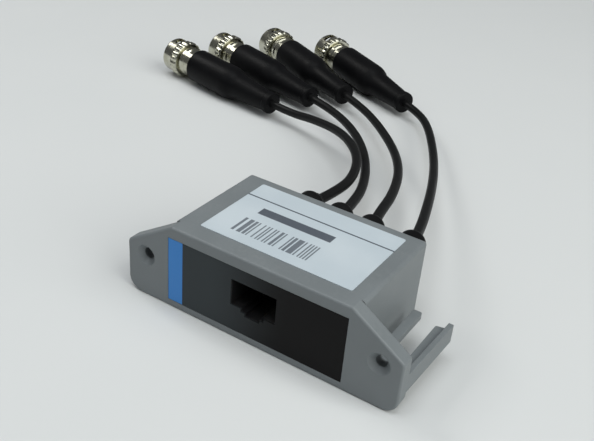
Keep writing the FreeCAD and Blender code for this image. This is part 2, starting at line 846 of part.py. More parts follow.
def make_cover_screws():
    """Four cross-recessed countersunk screws that hold the base plate to the cover's bosses."""
    pieces = []
    sunk = size("CoverScrewSink")
    head_height = (size("CoverScrewHeadDiameter") - size("CoverScrewDiameter")) / 2
    drive_long = size("DriveLength")
    drive_wide = size("DriveWidth")
    for index, place in enumerate(boss_places, start=1):
        x, y = boss_point(place)
        head = doc.addObject("Part::Cone", "screw_%d_head" % index)
        bind(head, "Radius1", size("CoverScrewHeadDiameter") / 2)
        bind(head, "Radius2", size("CoverScrewDiameter") / 2)
        bind(head, "Height", head_height)
        shank = doc.addObject("Part::Cylinder", "screw_%d_shank" % index)
        bind(shank, "Radius", size("CoverScrewDiameter") / 2)
        bind(shank, "Height", size("CoverScrewLength"))
        for item in (head, shank):
            bind(item, "Placement.Base.x", x)
            bind(item, "Placement.Base.y", y)
            bind(item, "Placement.Base.z", sunk)
        blank = doc.addObject("Part::Fuse", "screw_%d_blank" % index)
        blank.Base = head
        blank.Tool = shank
        bars = []
        for bar, (wide, deep) in enumerate(((drive_long, drive_wide), (drive_wide, drive_long))):
            slot = doc.addObject("Part::Box", "screw_%d_drive_%d" % (index, bar + 1))
            bind(slot, "Length", wide)
            bind(slot, "Width", deep)
            bind(slot, "Height", size("DriveDepth"))
            bind(slot, "Placement.Base.x", x - wide / 2)
            bind(slot, "Placement.Base.y", y - deep / 2)
            bind(slot, "Placement.Base.z", sunk)
            bars.append(slot)
        drive = doc.addObject("Part::MultiFuse", "screw_%d_drive" % index)
        drive.Shapes = bars
        screw = doc.addObject("Part::Cut", "screw_%d" % index)
        screw.Base = blank
        screw.Tool = drive
        pieces.append(screw)
    group = doc.addObject("Part::Compound", "cover_screws")
    group.Label = "cover_screws"
    group.Links = pieces
    subparts.append(group)


def tube(route, radius):
    """A round tube along straight runs joined by tangent arcs, each as large as its runs allow."""
    edges = []
    radii = []
    start = route[0]
    for before, corner, after in zip(route, route[1:], route[2:]):
        inward = (corner - before).normalize()
        outward = (after - corner).normalize()
        turn = inward.getAngle(outward)
        shorter = min((corner - before).Length, (after - corner).Length)
        bend = 0.45 * shorter / math.tan(turn / 2)
        reach = 0.45 * shorter
        leave = corner - inward * reach
        join = corner + outward * reach
        bisector = (outward - inward).normalize()
        centre = corner + bisector * (bend / math.cos(turn / 2))
        crown = centre - bisector * bend
        edges.append(Part.LineSegment(start, leave).toShape())
        edges.append(Part.Arc(leave, crown, join).toShape())
        radii.append(bend)
        start = join
    edges.append(Part.LineSegment(start, route[-1]).toShape())
    path = Part.Wire(edges)
    first = (route[1] - route[0]).normalize()
    section = Part.Wire([Part.Circle(route[0], first, radius).toShape()])
    solid = path.makePipeShell([section], True, False)
    expected = math.pi * radius ** 2 * path.Length
    if abs(solid.Volume - expected) > 0.01 * expected:
        raise RuntimeError("tube volume %.1f, expected %.1f" % (solid.Volume, expected))
    return solid, radii, path.Length


def plug_place(channel):
    """Where a plug lies: on the rear rim of its ring and the end of its boot's barrel."""
    ring_radius = size("RingDiameter").value / 2
    boot_radius = size("BootDiameter").value / 2
    rear = size("RingLength").value / 2
    span = boot_front.value + size("BootBarrelLength").value - rear
    tilt = math.atan((ring_radius - boot_radius) / span)
    height = ring_radius * math.cos(tilt) + rear * math.sin(tilt) + size("FloorClearance").value
    x, y, heading, turn = PLUGS[channel]
    yaw = FreeCAD.Rotation(Z_AXIS, heading)
    pitch = FreeCAD.Rotation(Y_AXIS, 90 - math.degrees(tilt))
    roll = FreeCAD.Rotation(Z_AXIS, turn)
    return FreeCAD.Placement(Vector(x, y, height), yaw.multiply(pitch).multiply(roll))


# Stations along a plug, measured backwards from the middle of its coupling ring.
ring_half = size("RingLength") / 2
sleeve_front = size("SleeveSetback") - ring_half
ring_wall = ring_half - size("RingRearWall")
shoulder_back = ring_wall - size("WasherGap")
shoulder_front = shoulder_back - size("ShoulderThickness")
collar_front = ring_half + size("CollarGap")
collar_back = collar_front + size("CollarLength")
boot_front = collar_back + size("BarrelLength")
shank_back = boot_front + size("ShankLength")
boot_length = (size("BootBarrelLength") + size("BootShoulderLength")
               + size("BootTaperLength") + size("BootCollarLength"))
boot_back = boot_front + boot_length


def make_ring(channel, place):
    """Coupling ring with two slanted bayonet slots in front and a fluted grip at its rear."""
    name = "coupling_ring_%d" % channel
    chamfer = size("RingChamfer")
    outer = size("RingDiameter") / 2
    front = size("RingFrontDiameter") / 2
    bore = size("RingBore") / 2
    hole = size("SleeveDiameter") / 2 + size("RingFit")
    grip = size("RingGripLength") - ring_half
    body = revolved(name, [
        (bore, ring_half),
        (bore, -ring_wall),
        (hole, -ring_wall),
        (hole, -ring_half),
        (outer - chamfer, -ring_half),
        (outer, chamfer - ring_half),
        (outer, grip - chamfer),
        (outer - chamfer, grip),
        (front, grip),
        (front, ring_half - chamfer),
        (front - chamfer, ring_half),
    ], place)

    flute = sketch_on(body, name + "_flute", "XY_Plane", -ring_half)
    depth = size("FluteDepth")
    half_flute = size("FluteWidth") / 2 * (depth + chamfer) / depth
    outline(flute, [
        (outer - depth, ZERO),
        (outer + chamfer, -half_flute),
        (outer + chamfer, half_flute),
    ])
    cut = pocket(body, flute, size("RingGripLength"), backwards=True)
    turned_copies(body, cut, name + "_flutes", FLUTES)

    slot = sketch_on(body, name + "_slot", "XZ_Plane")
    slanted_slot(slot, ring_half - size("SlotSetback"), size("SlotRise"), size("SlotSpan"), size("SlotWidth"))
    cut = pocket(body, slot, outer)
    turned_copies(body, cut, name + "_slots", BAYONET_SLOTS)


def make_plug(channel, place):
    """Plug body, insulator, centre pin, gasket and spring washer of one channel."""
    sleeve = size("SleeveDiameter") / 2
    bore = size("SleeveBore") / 2
    shoulder = size("ShoulderDiameter") / 2
    collar = size("CollarDiameter") / 2
    barrel = size("BarrelDiameter") / 2
    shank = size("ShankDiameter") / 2
    rounding = size("CollarRound")
    name = "plug_body_%d" % channel
    body = revolved(name, [
        (bore, -sleeve_front),
        (sleeve, -sleeve_front),
        (sleeve, -shoulder_front),
        (shoulder, -shoulder_front),
        (shoulder, -shoulder_back),
        (sleeve, -shoulder_back),
        (sleeve, -collar_front),
        (collar - rounding, -collar_front),
        (collar, -collar_front - rounding),
        (collar, rounding - collar_back),
        (collar - rounding, -collar_back),
        (barrel, -collar_back),
        (barrel, -boot_front),
        (shank, -boot_front),
        (shank, -shank_back),
        (ZERO, -shank_back),
        (ZERO, -boot_front),
        (bore, -boot_front),
    ], place)
    split = sketch_on(body, name + "_split", "XZ_Plane")
    half_split = size("SleeveSlotWidth") / 2
    rectangle(split, -half_split, half_split, -sleeve_front - size("SleeveSlotDepth"), -sleeve_front)
    cut = pocket(body, split, shoulder)
    turned_copies(body, cut, name + "_splits", SLEEVE_SLOTS)

    pin_radius = size("PinDiameter") / 2
    fit = size("InsulatorFit")
    insulator = size("InsulatorDiameter") / 2
    reach = size("InsulatorReach") - shoulder_front
    revolved("insulator_%d" % channel, [
        (pin_radius + fit, -boot_front),
        (bore - fit, -boot_front),
        (bore - fit, -shoulder_front),
        (insulator, -shoulder_front),
        (insulator, reach),
        (pin_radius + fit, reach),
    ], place)

    tip = size("PinReach") - shoulder_front
    point = size("PinPoint")
    revolved("centre_pin_%d" % channel, [
        (ZERO, tip),
        (point, tip),
        (pin_radius, tip - pin_radius),
        (pin_radius, -boot_front),
        (ZERO, -boot_front),
    ], place)

    rings = (
        ("gasket_%d", size("GasketDiameter"), size("GasketThickness"), -shoulder_front),
        ("spring_washer_%d", size("WasherDiameter"), size("WasherThickness"),
         -ring_wall + size("WasherPlay")),
    )
    for pattern, diameter, thickness, height in rings:
        name = pattern % channel
        disc = doc.addObject("Part::Cylinder", name + "_disc")
        hole = doc.addObject("Part::Cylinder", name + "_hole")
        bind(disc, "Radius", diameter / 2)
        bind(hole, "Radius", sleeve + fit)
        for item in (disc, hole):
            bind(item, "Height", thickness)
            bind(item, "Placement.Base.z", height)
        washer = doc.addObject("Part::Cut", name)
        washer.Label = name
        washer.Base = disc
        washer.Tool = hole
        washer.Placement = place
        subparts.append(washer)


def make_boot(channel, place):
    """Moulded boot: a barrel, a rounded shoulder, a long taper and an end collar."""
    outer = size("BootDiameter") / 2
    mouth = size("BootMouthDiameter") / 2
    shoulder = size("BootShoulderDiameter") / 2
    taper = size("BootTaperDiameter") / 2
    end = size("BootCollarDiameter") / 2
    hole = size("ShankDiameter") / 2 + size("BootFit")
    barrel_end = boot_front + size("BootBarrelLength")
    shoulder_end = barrel_end + size("BootShoulderLength")
    taper_end = shoulder_end + size("BootTaperLength")
    revolved("boot_%d" % channel, [
        (hole, -boot_front),
        (mouth, -boot_front),
        (outer, mouth - outer - boot_front),
        (outer, -barrel_end),
        (outer - size("BootShoulderDrop"), -barrel_end - size("BootShoulderCrown")),
        (shoulder, -shoulder_end),
        (taper, -taper_end),
        (end, -taper_end),
        (end, -boot_back),
        (ZERO, -boot_back),
        (ZERO, -shank_back),
        (hole, -shank_back),
    ], place)


def grommet_way(channel):
    """The direction in which a grommet's tip lets its cable out."""
    aside, down = LEANS[channel]
    turn = FreeCAD.Rotation(Z_AXIS, aside)
    return turn.multVec(FreeCAD.Rotation(X_AXIS, -down).multVec(Y_AXIS))


def make_grommet(channel):
    """Grommet held in the rear wall by its groove, with a tapered tip that leans to its cable."""
    flange = size("GrommetFlangeDiameter") / 2
    neck = size("GrommetNeckDiameter") / 2
    inner = size("GrommetInnerDiameter") / 2
    wall = size("WallThickness")
    edge = size("GrommetRound")
    shoulder = size("GrommetShoulder")
    length = size("GrommetFlangeLength")
    name = "grommet_%d" % (channel + 1)
    body = revolved(name, [
        (ZERO, -wall - size("GrommetInnerLength")),
        (inner, -wall - size("GrommetInnerLength")),
        (inner, -wall),
        (neck, -wall),
        (neck, ZERO),
        (flange, ZERO),
        (flange, length - edge),
        (flange - shoulder, length - shoulder),
        (flange - edge, length),
        (ZERO, length),
    ])
    outward = FreeCAD.Rotation(X_AXIS, -90)
    body.Placement = FreeCAD.Placement(Vector(0, 0, 0), outward)
    bind(body, "Placement.Base.x", grommet_x(channel))
    bind(body, "Placement.Base.y", half_depth)
    bind(body, "Placement.Base.z", grommet_height)
    tip = body.newObject("PartDesign::AdditiveCone", name + "_tip")
    tip.AttachmentSupport = [(origin_item(body, "XY_Plane"), "")]
    tip.MapMode = "FlatFace"
    way = outward.inverted().multVec(grommet_way(channel))
    tip.AttachmentOffset = FreeCAD.Placement(Vector(0, 0, 0), FreeCAD.Rotation(Z_AXIS, way))
    bind(tip, "AttachmentOffset.Base.z", length - size("GrommetSleeveSink"))
    bind(tip, "Radius1", size("GrommetSleeveDiameter") / 2)
    bind(tip, "Radius2", size("GrommetTipDiameter") / 2)
    bind(tip, "Height", size("GrommetTipLength"))
    settle(tip)


def make_cable(channel, place):
    """Coaxial cable from its grommet's tip to the end of its plug's boot."""
    way = grommet_way(channel)
    root = half_depth + size("GrommetFlangeLength") - size("GrommetSleeveSink")
    start = Vector(grommet_x(channel).value, root.value, grommet_height.value)
    start = start + way * size("GrommetTipLength").value
    end = place.multVec(Vector(0, 0, -boot_back.value))
    lead = place.multVec(Vector(0, 0, -boot_back.value - size("CableTailRun").value))
    head = start + way * size("CableHeadRun").value
    route = [start, head] + [Vector(*point) for point in BENDS[channel]] + [lead, end]
    solid, radii, length = tube(route, size("CableDiameter").value / 2)
    cable = doc.addObject("Part::Feature", "cable_%d" % (channel + 1))
    cable.Label = "cable_%d" % (channel + 1)
    cable.Shape = solid
    subparts.append(cable)
    print(cable.Label, "length %.1f mm, bend radii" % length, [round(radius, 1) for radius in radii])


make_cover()
make_base()
make_labels()
make_board()
make_jack()
make_components()
make_cover_screws()
for channel in range(CHANNELS):
    place = plug_place(channel)
    make_grommet(channel)
    make_cable(channel, place)
    make_boot(channel + 1, place)
    make_plug(channel + 1, place)
    make_ring(channel + 1, place)
doc.recompute()

for item in doc.Objects:
    if "Invalid" in item.State or "Error" in item.State:
        raise RuntimeError("failed: %s %s" % (item.Name, item.State))
os.makedirs("parts", exist_ok=True)
for item in subparts:
    if item.Shape.isNull() or not item.Shape.isValid():
        raise RuntimeError("bad shape: " + item.Label)
for item in subparts:
    item.Shape.exportStep("parts/%s.step" % item.Label)
print("pieces", len(subparts), "volume %.0f mm3" % sum(item.Shape.Volume for item in subparts))
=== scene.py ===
"""A four-channel video balun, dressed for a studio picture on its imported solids.

Lengths are in metres, in the frame of the solids: +X to the right, +Y to the rear and +Z up, with
the floor at 0.
"""

import logging
import math
from dataclasses import dataclass, field
from enum import Enum
from typing import Any, Callable, Sequence

import bmesh
import bpy
from mathutils import Matrix, Vector


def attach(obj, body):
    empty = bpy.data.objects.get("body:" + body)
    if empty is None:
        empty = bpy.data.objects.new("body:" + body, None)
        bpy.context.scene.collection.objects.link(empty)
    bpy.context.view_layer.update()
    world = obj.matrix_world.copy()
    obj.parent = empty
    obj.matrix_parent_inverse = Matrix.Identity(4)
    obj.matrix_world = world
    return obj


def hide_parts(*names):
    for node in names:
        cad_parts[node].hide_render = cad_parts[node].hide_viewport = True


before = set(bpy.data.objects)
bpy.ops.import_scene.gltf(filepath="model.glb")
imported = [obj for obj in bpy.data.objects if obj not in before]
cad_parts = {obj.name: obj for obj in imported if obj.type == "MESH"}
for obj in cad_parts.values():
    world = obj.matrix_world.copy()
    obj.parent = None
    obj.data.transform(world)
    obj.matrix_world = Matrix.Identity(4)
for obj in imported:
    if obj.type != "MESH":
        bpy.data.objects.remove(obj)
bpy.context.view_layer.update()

MM = 0.001
# Edges that turn by more degrees than this stay sharp.
SHARP_ANGLE = 38.0
# Points nearer to each other, or to the axis of a turned piece, than this are one.
TOUCHING = 1e-7
# The largest share of a profile's side that one rounding may take.
ROUNDING_SHARE = 0.48
LOG = logging.getLogger("video_balun")
Colour = tuple[float, float, float]
Point = tuple[float, float]
Place = tuple[float, float, float]
Socket = bpy.types.NodeSocket
Tree = bpy.types.NodeTree
Node = bpy.types.Node
Item = bpy.types.Object
# What an input of a node takes: a link from a socket, a number, or a colour or vector.
Value = Socket | float | Colour


class Slot(Enum):
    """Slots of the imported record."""

    GROMMET = "grommet"
    CABLE = "cable"
    BOOT = "boot"
    NICKEL = "nickel"


class Effect(Enum):
    """Shared surface effects, each a node group of its own."""

    GRAIN = "mould_grain"
    EDGE = "rounded_edge"
    DUST = "settled_dust"
    SCRATCH = "fine_scratches"
    FIELD = "printed_field"
    # Painted shade: darkening in slots, gaps and inner corners.
    CREVICE_SHADE = "painted_crevice_shade"


@dataclass(frozen=True)
class NodeSheet:
    """Lays out and links the nodes of one shader tree."""

    tree: Tree

    def fill(self, socket: Socket, value: Value) -> None:
        """Links or sets one input.

        Args:
            socket: The input to fill.
            value: A socket to link from, or a constant, which for a colour has three parts.
        """
        if isinstance(value, Socket):
            self.tree.links.new(value, socket)
        elif socket.type == "RGBA":
            socket.default_value = (*value, 1.0)
        else:
            socket.default_value = value

    def add(self, kind: str, inputs: dict[Any, Value] | None = None, **settings: Any) -> Node:
        """Adds a node.

        Args:
            kind: The node's type name without its ShaderNode prefix.
            inputs: Values or sockets by input name or number.
            settings: Attributes of the node itself.

        Returns:
            The new node.
        """
        node = self.tree.nodes.new("ShaderNode" + kind)
        for name, value in settings.items():
            setattr(node, name, value)
        for key, value in (inputs or {}).items():
            self.fill(node.inputs[key], value)
        return node

    def math(
        self, operation: str, first: Value, second: Value = 0.0, clamp: bool = False
    ) -> Socket:
        """A math node's result.

        Args:
            operation: Blender's name of the operation.
            first: The first value or socket.
            second: The second value or socket.
            clamp: Whether the result is kept between 0 and 1.

        Returns:
            The value socket.
        """
        inputs = {0: first, 1: second}
        return self.add("Math", inputs, operation=operation, use_clamp=clamp).outputs[0]

    def ramp(
        self, value: Value, low: float, high: float, start: float = 0.0, end: float = 1.0
    ) -> Socket:
        """A value mapped smoothly from one range to another.

        Args:
            value: The socket to map.
            low: Where the input range starts.
            high: Where the input range ends.
            start: The result at low.
            end: The result at high.

        Returns:
            The mapped value socket.
        """
        inputs = {"Value": value, "From Min": low, "From Max": high, "To Min": start, "To Max": end}
        return self.add("MapRange", inputs, interpolation_type="SMOOTHSTEP").outputs[0]

    def between(self, mask: Value, start: float, end: float) -> Socket:
        """A mask mapped to values between a start and an end."""
        return self.ramp(mask, 0.0, 1.0, start, end)

    def blend(self, mask: Value, under: Value, over: Value) -> Socket:
        """Two colours mixed by a mask.

        Args:
            mask: The share of the upper colour.
            under: The colour where the mask is 0.
            over: The colour where the mask is 1.

        Returns:
            The mixed colour socket.
        """
        return self.add("Mix", {0: mask, 6: under, 7: over}, data_type="RGBA").outputs[2]

    def noise(
        self, point: Value, size: float, detail: float = 3.0, roughness: float = 0.55
    ) -> Socket:
        """Cloudy noise whose blotches have about a given size.

        Args:
            point: The coordinate to read.
            size: The size of a blotch in metres.
            detail: How many finer layers there are.
            roughness: How strong the finer layers are.

        Returns:
            The noise's value socket.
        """
        inputs = {"Vector": point, "Scale": 1.0 / size, "Detail": detail, "Roughness": roughness}
        return self.add("TexNoise", inputs).outputs["Fac"]

    def effect(self, effect: Effect, **inputs: Value) -> Any:
        """Places a shared effect.

        Args:
            effect: Which node group to place.
            inputs: Its inputs by name.

        Returns:
            Its outputs by name.
        """
        return self.add("Group", inputs, node_tree=EffectLibrary.group(effect)).outputs

    def surface(
        self, colour: Value, rough: Value, height: Value, depth: float, normal: Value,
        more: dict[str, Value], strength: float = 1.0,
    ) -> Socket:
        """A surface with a fine relief.

        Args:
            colour: Its colour.
            rough: Its roughness.
            height: The relief, from 0 to 1.
            depth: How deep the relief goes, in metres.
            normal: The normal that the relief lies on.
            more: Other inputs of the shader, by name.
            strength: How strongly the relief shows.

        Returns:
            The shader socket.
        """
        relief = {"Strength": strength, "Distance": depth, "Height": height, "Normal": normal}
        bump = self.add("Bump", relief).outputs[0]
        inputs = {"Base Color": colour, "Roughness": rough, "Normal": bump, **more}
        return self.add("BsdfPrincipled", inputs).outputs[0]


class EffectLibrary:
    """Builds each shared effect once, as a shader node group with named sockets."""

    made: dict[Effect, Tree] = {}

    @classmethod
    def group(cls, effect: Effect) -> Tree:
        """The node group of an effect.

        Args:
            effect: The effect to look up or build.

        Returns:
            The node group.
        """
        if effect not in cls.made:
            builders = {
                Effect.GRAIN: cls.grain,
                Effect.EDGE: cls.edge,
                Effect.DUST: cls.dust,
                Effect.SCRATCH: cls.scratch,
                Effect.FIELD: cls.printed,
                Effect.CREVICE_SHADE: cls.crevice_shade,
            }
            cls.made[effect] = builders[effect]()
        return cls.made[effect]

    @staticmethod
    def begin(
        effect: Effect, inputs: dict[str, float | None], outputs: dict[str, float | None]
    ) -> tuple[NodeSheet, Any, Any]:
        """Starts a group with its sockets.

        Args:
            effect: The effect that the group is for.
            inputs: Default of each input by name, or None for a vector.
            outputs: The same for each output.

        Returns:
            The sheet, the sockets of what the group is given, and those of its result.
        """
        tree = bpy.data.node_groups.new(effect.value, "ShaderNodeTree")
        for side, sockets in (("INPUT", inputs), ("OUTPUT", outputs)):
            for name, default in sockets.items():
                kind = "NodeSocketVector" if default is None else "NodeSocketFloat"
                socket = tree.interface.new_socket(name, in_out=side, socket_type=kind)
                if default is not None:
                    socket.default_value = default
        given, result = tree.nodes.new("NodeGroupInput"), tree.nodes.new("NodeGroupOutput")
        return NodeSheet(tree), given.outputs, result.inputs

    @classmethod
    def grain(cls) -> Tree:
        """Spark-eroded mould grain: fine pits over a faint, larger waviness.

        Returns:
            The node group.
        """
        sheet, given, result = cls.begin(
            Effect.GRAIN, {"Point": None, "Size": 0.0004}, {"Height": 0.0, "Tone": 0.0}
        )
        point = given["Point"]
        rate = sheet.math("DIVIDE", 1.0, given["Size"])
        pits = sheet.add("TexVoronoi", {"Vector": point, "Scale": rate}).outputs["Distance"]
        near = {"Vector": point, "Scale": rate, "Detail": 4.0}
        fine = sheet.add("TexNoise", near).outputs["Fac"]
        far = {"Vector": point, "Scale": sheet.math("MULTIPLY", rate, 0.03), "Detail": 2.0}
        clouds = sheet.add("TexNoise", far).outputs["Fac"]
        pitted = sheet.math("MULTIPLY", pits, 0.6)
        height = sheet.math("ADD", pitted, sheet.math("MULTIPLY", fine, 0.6))
        sheet.fill(result["Height"], height)
        sheet.fill(result["Tone"], sheet.ramp(clouds, 0.3, 0.7))
        return sheet.tree

    @classmethod
    def edge(cls) -> Tree:
        """Small radius on every edge, and a mask of where the edges are rubbed.

        Returns:
            The node group.
        """
        sheet, given, result = cls.begin(
            Effect.EDGE, {"Radius": 0.0002, "Point": None}, {"Normal": None, "Rubbed": 0.0}
        )
        round_edge = sheet.add("Bevel", {"Radius": given["Radius"]}, samples=6).outputs["Normal"]
        flat = sheet.add("NewGeometry").outputs["Normal"]
        facing = sheet.add("VectorMath", {0: round_edge, 1: flat}, operation="DOT_PRODUCT")
        turn = sheet.math("SUBTRACT", 1.0, facing.outputs["Value"])
        patches = sheet.noise(given["Point"], 0.004, 3.0)
        worn = sheet.ramp(turn, 0.02, 0.28)
        rubbed = sheet.math("MULTIPLY", worn, sheet.ramp(patches, 0.35, 0.65))
        sheet.fill(result["Normal"], round_edge)
        sheet.fill(result["Rubbed"], rubbed)
        return sheet.tree

    @classmethod
    def dust(cls) -> Tree:
        """Thin dust that lies on faces turned upwards.

        Returns:
            The node group.
        """
        sheet, given, result = cls.begin(Effect.DUST, {"Point": None, "Amount": 0.1}, {"Mask": 0.0})
        normal = sheet.add("NewGeometry").outputs["Normal"]
        rise = sheet.add("SeparateXYZ", {0: normal}).outputs["Z"]
        specks = sheet.noise(given["Point"], 0.0011, 5.0, 0.7)
        drift = sheet.noise(given["Point"], 0.011, 2.0)
        patchy = sheet.math("MULTIPLY", sheet.ramp(specks, 0.42, 0.7), sheet.ramp(drift, 0.3, 0.75))
        lying = sheet.math("MULTIPLY", patchy, sheet.ramp(rise, 0.3, 0.95))
        sheet.fill(result["Mask"], sheet.math("MULTIPLY", lying, given["Amount"]))
        return sheet.tree

    @classmethod
    def scratch(cls) -> Tree:
        """Hair-fine marks of handling in a polished surface, running along one axis.

        Returns:
            The node group.
        """
        sheet, given, result = cls.begin(
            Effect.SCRATCH, {"Point": None, "Size": 0.0003}, {"Height": 0.0, "Haze": 0.0}
        )
        stretch = {0: given["Point"], 1: (1.0, 1.0, 0.12)}
        squeeze = sheet.add("VectorMath", stretch, operation="MULTIPLY").outputs[0]
        rate = sheet.math("DIVIDE", 1.0, given["Size"])
        inputs = {"Vector": squeeze, "Scale": rate, "Detail": 5.0, "Roughness": 0.7}
        lines = sheet.add("TexNoise", inputs).outputs["Fac"]
        haze = sheet.noise(given["Point"], 0.0028, 4.0, 0.6)
        sheet.fill(result["Height"], lines)
        sheet.fill(result["Haze"], sheet.ramp(haze, 0.35, 0.7))
        return sheet.tree

    @classmethod
    def printed(cls) -> Tree:
        """A rectangle of ink with slightly soft edges.

        Returns:
            The node group.
        """
        inputs = dict.fromkeys(("Across", "Up", "Left", "Right", "Low", "High"), 0.0)
        inputs["Softness"] = 0.0001
        sheet, given, result = cls.begin(Effect.FIELD, inputs, {"Mask": 0.0})
        mask: Value = 1.0
        for axis, low, high in (("Across", "Left", "Right"), ("Up", "Low", "High")):
            inside = sheet.math("SUBTRACT", given[axis], given[low])
            beyond = sheet.math("SUBTRACT", given[high], given[axis])
            nearest = sheet.math("MINIMUM", inside, beyond)
            side = sheet.math("DIVIDE", nearest, given["Softness"], clamp=True)
            mask = sheet.math("MULTIPLY", mask, side)
        sheet.fill(result["Mask"], mask)
        return sheet.tree

    @classmethod
    def crevice_shade(cls) -> Tree:
        """Painted shade in slots, gaps and inner corners, read from ambient occlusion.

        Returns:
            The node group.
        """
        sheet, given, result = cls.begin(
            Effect.CREVICE_SHADE, {"Reach": 0.003, "Amount": 0.5}, {"Mask": 0.0}
        )
        reach = {"Distance": given["Reach"]}
        # Painted shade: the less open sky a point sees, the darker its colour is made.
        open_sky = sheet.add("AmbientOcclusion", reach, samples=8, only_local=True)
        buried = sheet.math("SUBTRACT", 1.0, open_sky.outputs["AO"])
        deep = sheet.ramp(buried, 0.25, 0.85)
        sheet.fill(result["Mask"], sheet.math("MULTIPLY", deep, given["Amount"]))
        return sheet.tree


class Finish:
    """A named surface finish that makes its material once."""

    name: str

    def material(self) -> bpy.types.Material:
        """The finish's material, built on first use.

        Returns:
            The material.
        """
        if self.name in bpy.data.materials:
            return bpy.data.materials[self.name]
        material = bpy.data.materials.new(self.name)
        material.use_nodes = True
        material.node_tree.nodes.clear()
        sheet = NodeSheet(material.node_tree)
        sheet.add("OutputMaterial", {"Surface": self.shade(sheet)})
        return material

    def shade(self, sheet: NodeSheet) -> Socket:
        """Lays out the finish's nodes and returns the shader socket."""
        raise NotImplementedError

    @staticmethod
    def here(sheet: NodeSheet) -> Socket:
        """The surface point in metres, in the frame of the solids."""
        return sheet.add("TexCoord").outputs["Object"]


@dataclass(frozen=True)
class MouldedFinish(Finish):
    """Moulded plastic or rubber with grain, flow clouds, rubbed edges, a little dust and painted
    shade in crevices.
    """

    name: str
    colour: Colour
    cloud: Colour
    rubbed: Colour
    roughness: float = 0.5
    smoother: float = 0.04
    rougher: float = 0.05
    specular: float = 0.5
    grain_size: float = 0.00035
    grain_height: float = 0.00001
    edge_radius: float = 0.00018
    dust: float = 0.1
    dust_haze: float = 0.4
    dust_colour: Colour = (0.42, 0.42, 0.40)
    # Painted shade in crevices: how strong it is, how far it reaches and its colour.
    painted_shade: float = 0.6
    painted_shade_reach: float = 0.004
    painted_shade_colour: Colour = (0.004, 0.004, 0.004)

    def shade(self, sheet: NodeSheet) -> Socket:
        """Grain, clouds, edges, dust and painted crevice shade over one plastic.

        Args:
            sheet: The node sheet.

        Returns:
            The shader socket.
        """
        here = self.here(sheet)
        grain = sheet.effect(Effect.GRAIN, Point=here, Size=self.grain_size)
        edge = sheet.effect(Effect.EDGE, Point=here, Radius=self.edge_radius)
        dust = sheet.effect(Effect.DUST, Point=here, Amount=self.dust)["Mask"]
        # Painted shade: crevices are darkened through ambient occlusion and blended in below.
        painted_shade = sheet.effect(Effect.CREVICE_SHADE, Reach=self.painted_shade_reach, Amount=self.painted_shade)
        colour = sheet.blend(grain["Tone"], self.colour, self.cloud)
        colour = sheet.blend(edge["Rubbed"], colour, self.rubbed)
        colour = sheet.blend(dust, colour, self.dust_colour)
        colour = sheet.blend(painted_shade["Mask"], colour, self.painted_shade_colour)
        gloss = sheet.between(
            grain["Tone"], self.roughness - self.smoother, self.roughness + self.rougher
        )
        rough = sheet.math("ADD", gloss, sheet.math("MULTIPLY", dust, self.dust_haze), clamp=True)
        return sheet.surface(
            colour, rough, grain["Height"], self.grain_height, edge["Normal"],
            {"Specular IOR Level": self.specular},
        )


@dataclass(frozen=True)
class PlatedFinish(Finish):
    """Plated metal with hair-fine marks, a breath of tarnish and bright rounded edges."""

    name: str
    colour: Colour
    tarnish: Colour
    roughness: float = 0.18
    rougher: float = 0.12
    haze: float = 0.55
    mark_size: float = 0.00025
    mark_height: float = 0.000002
    edge_radius: float = 0.00012
    # Painted shade in crevices: how strong it is, how far it reaches and its colour.
    painted_shade: float = 0.75
    painted_shade_reach: float = 0.0022
    painted_shade_colour: Colour = (0.010, 0.009, 0.006)

    def shade(self, sheet: NodeSheet) -> Socket:
        """Marks, tarnish and painted crevice shade over one metal.

        Args:
            sheet: The node sheet.

        Returns:
            The shader socket.
        """
        here = self.here(sheet)
        marks = sheet.effect(Effect.SCRATCH, Point=here, Size=self.mark_size)
        edge = sheet.effect(Effect.EDGE, Point=here, Radius=self.edge_radius)
        # Painted shade: hollows are darkened through ambient occlusion and blended in below.
        painted_shade = sheet.effect(Effect.CREVICE_SHADE, Reach=self.painted_shade_reach, Amount=self.painted_shade)
        haze = sheet.math("MULTIPLY", marks["Haze"], self.haze)
        colour = sheet.blend(haze, self.colour, self.tarnish)
        colour = sheet.blend(painted_shade["Mask"], colour, self.painted_shade_colour)
        rough = sheet.between(marks["Haze"], self.roughness, self.roughness + self.rougher)
        return sheet.surface(
            colour, rough, marks["Height"], self.mark_height, edge["Normal"],
            {"Metallic": 1.0},
        )


@dataclass(frozen=True)
class PrintBox:
    """A printed rectangle on a flat face, in metres."""

    left: float
    right: float
    low: float
    high: float

    def mask(self, sheet: NodeSheet, across: Value, up: Value, softness: float) -> Socket:
        """Where the rectangle is printed.

        Args:
            sheet: The node sheet.
            across: The coordinate from left to right.
            up: The coordinate from low to high.
            softness: How wide its soft edge is.

        Returns:
            The mask socket.
        """
        return sheet.effect(
            Effect.FIELD, Across=across, Up=up, Left=self.left, Right=self.right,
            Low=self.low, High=self.high, Softness=softness,
        )["Mask"]


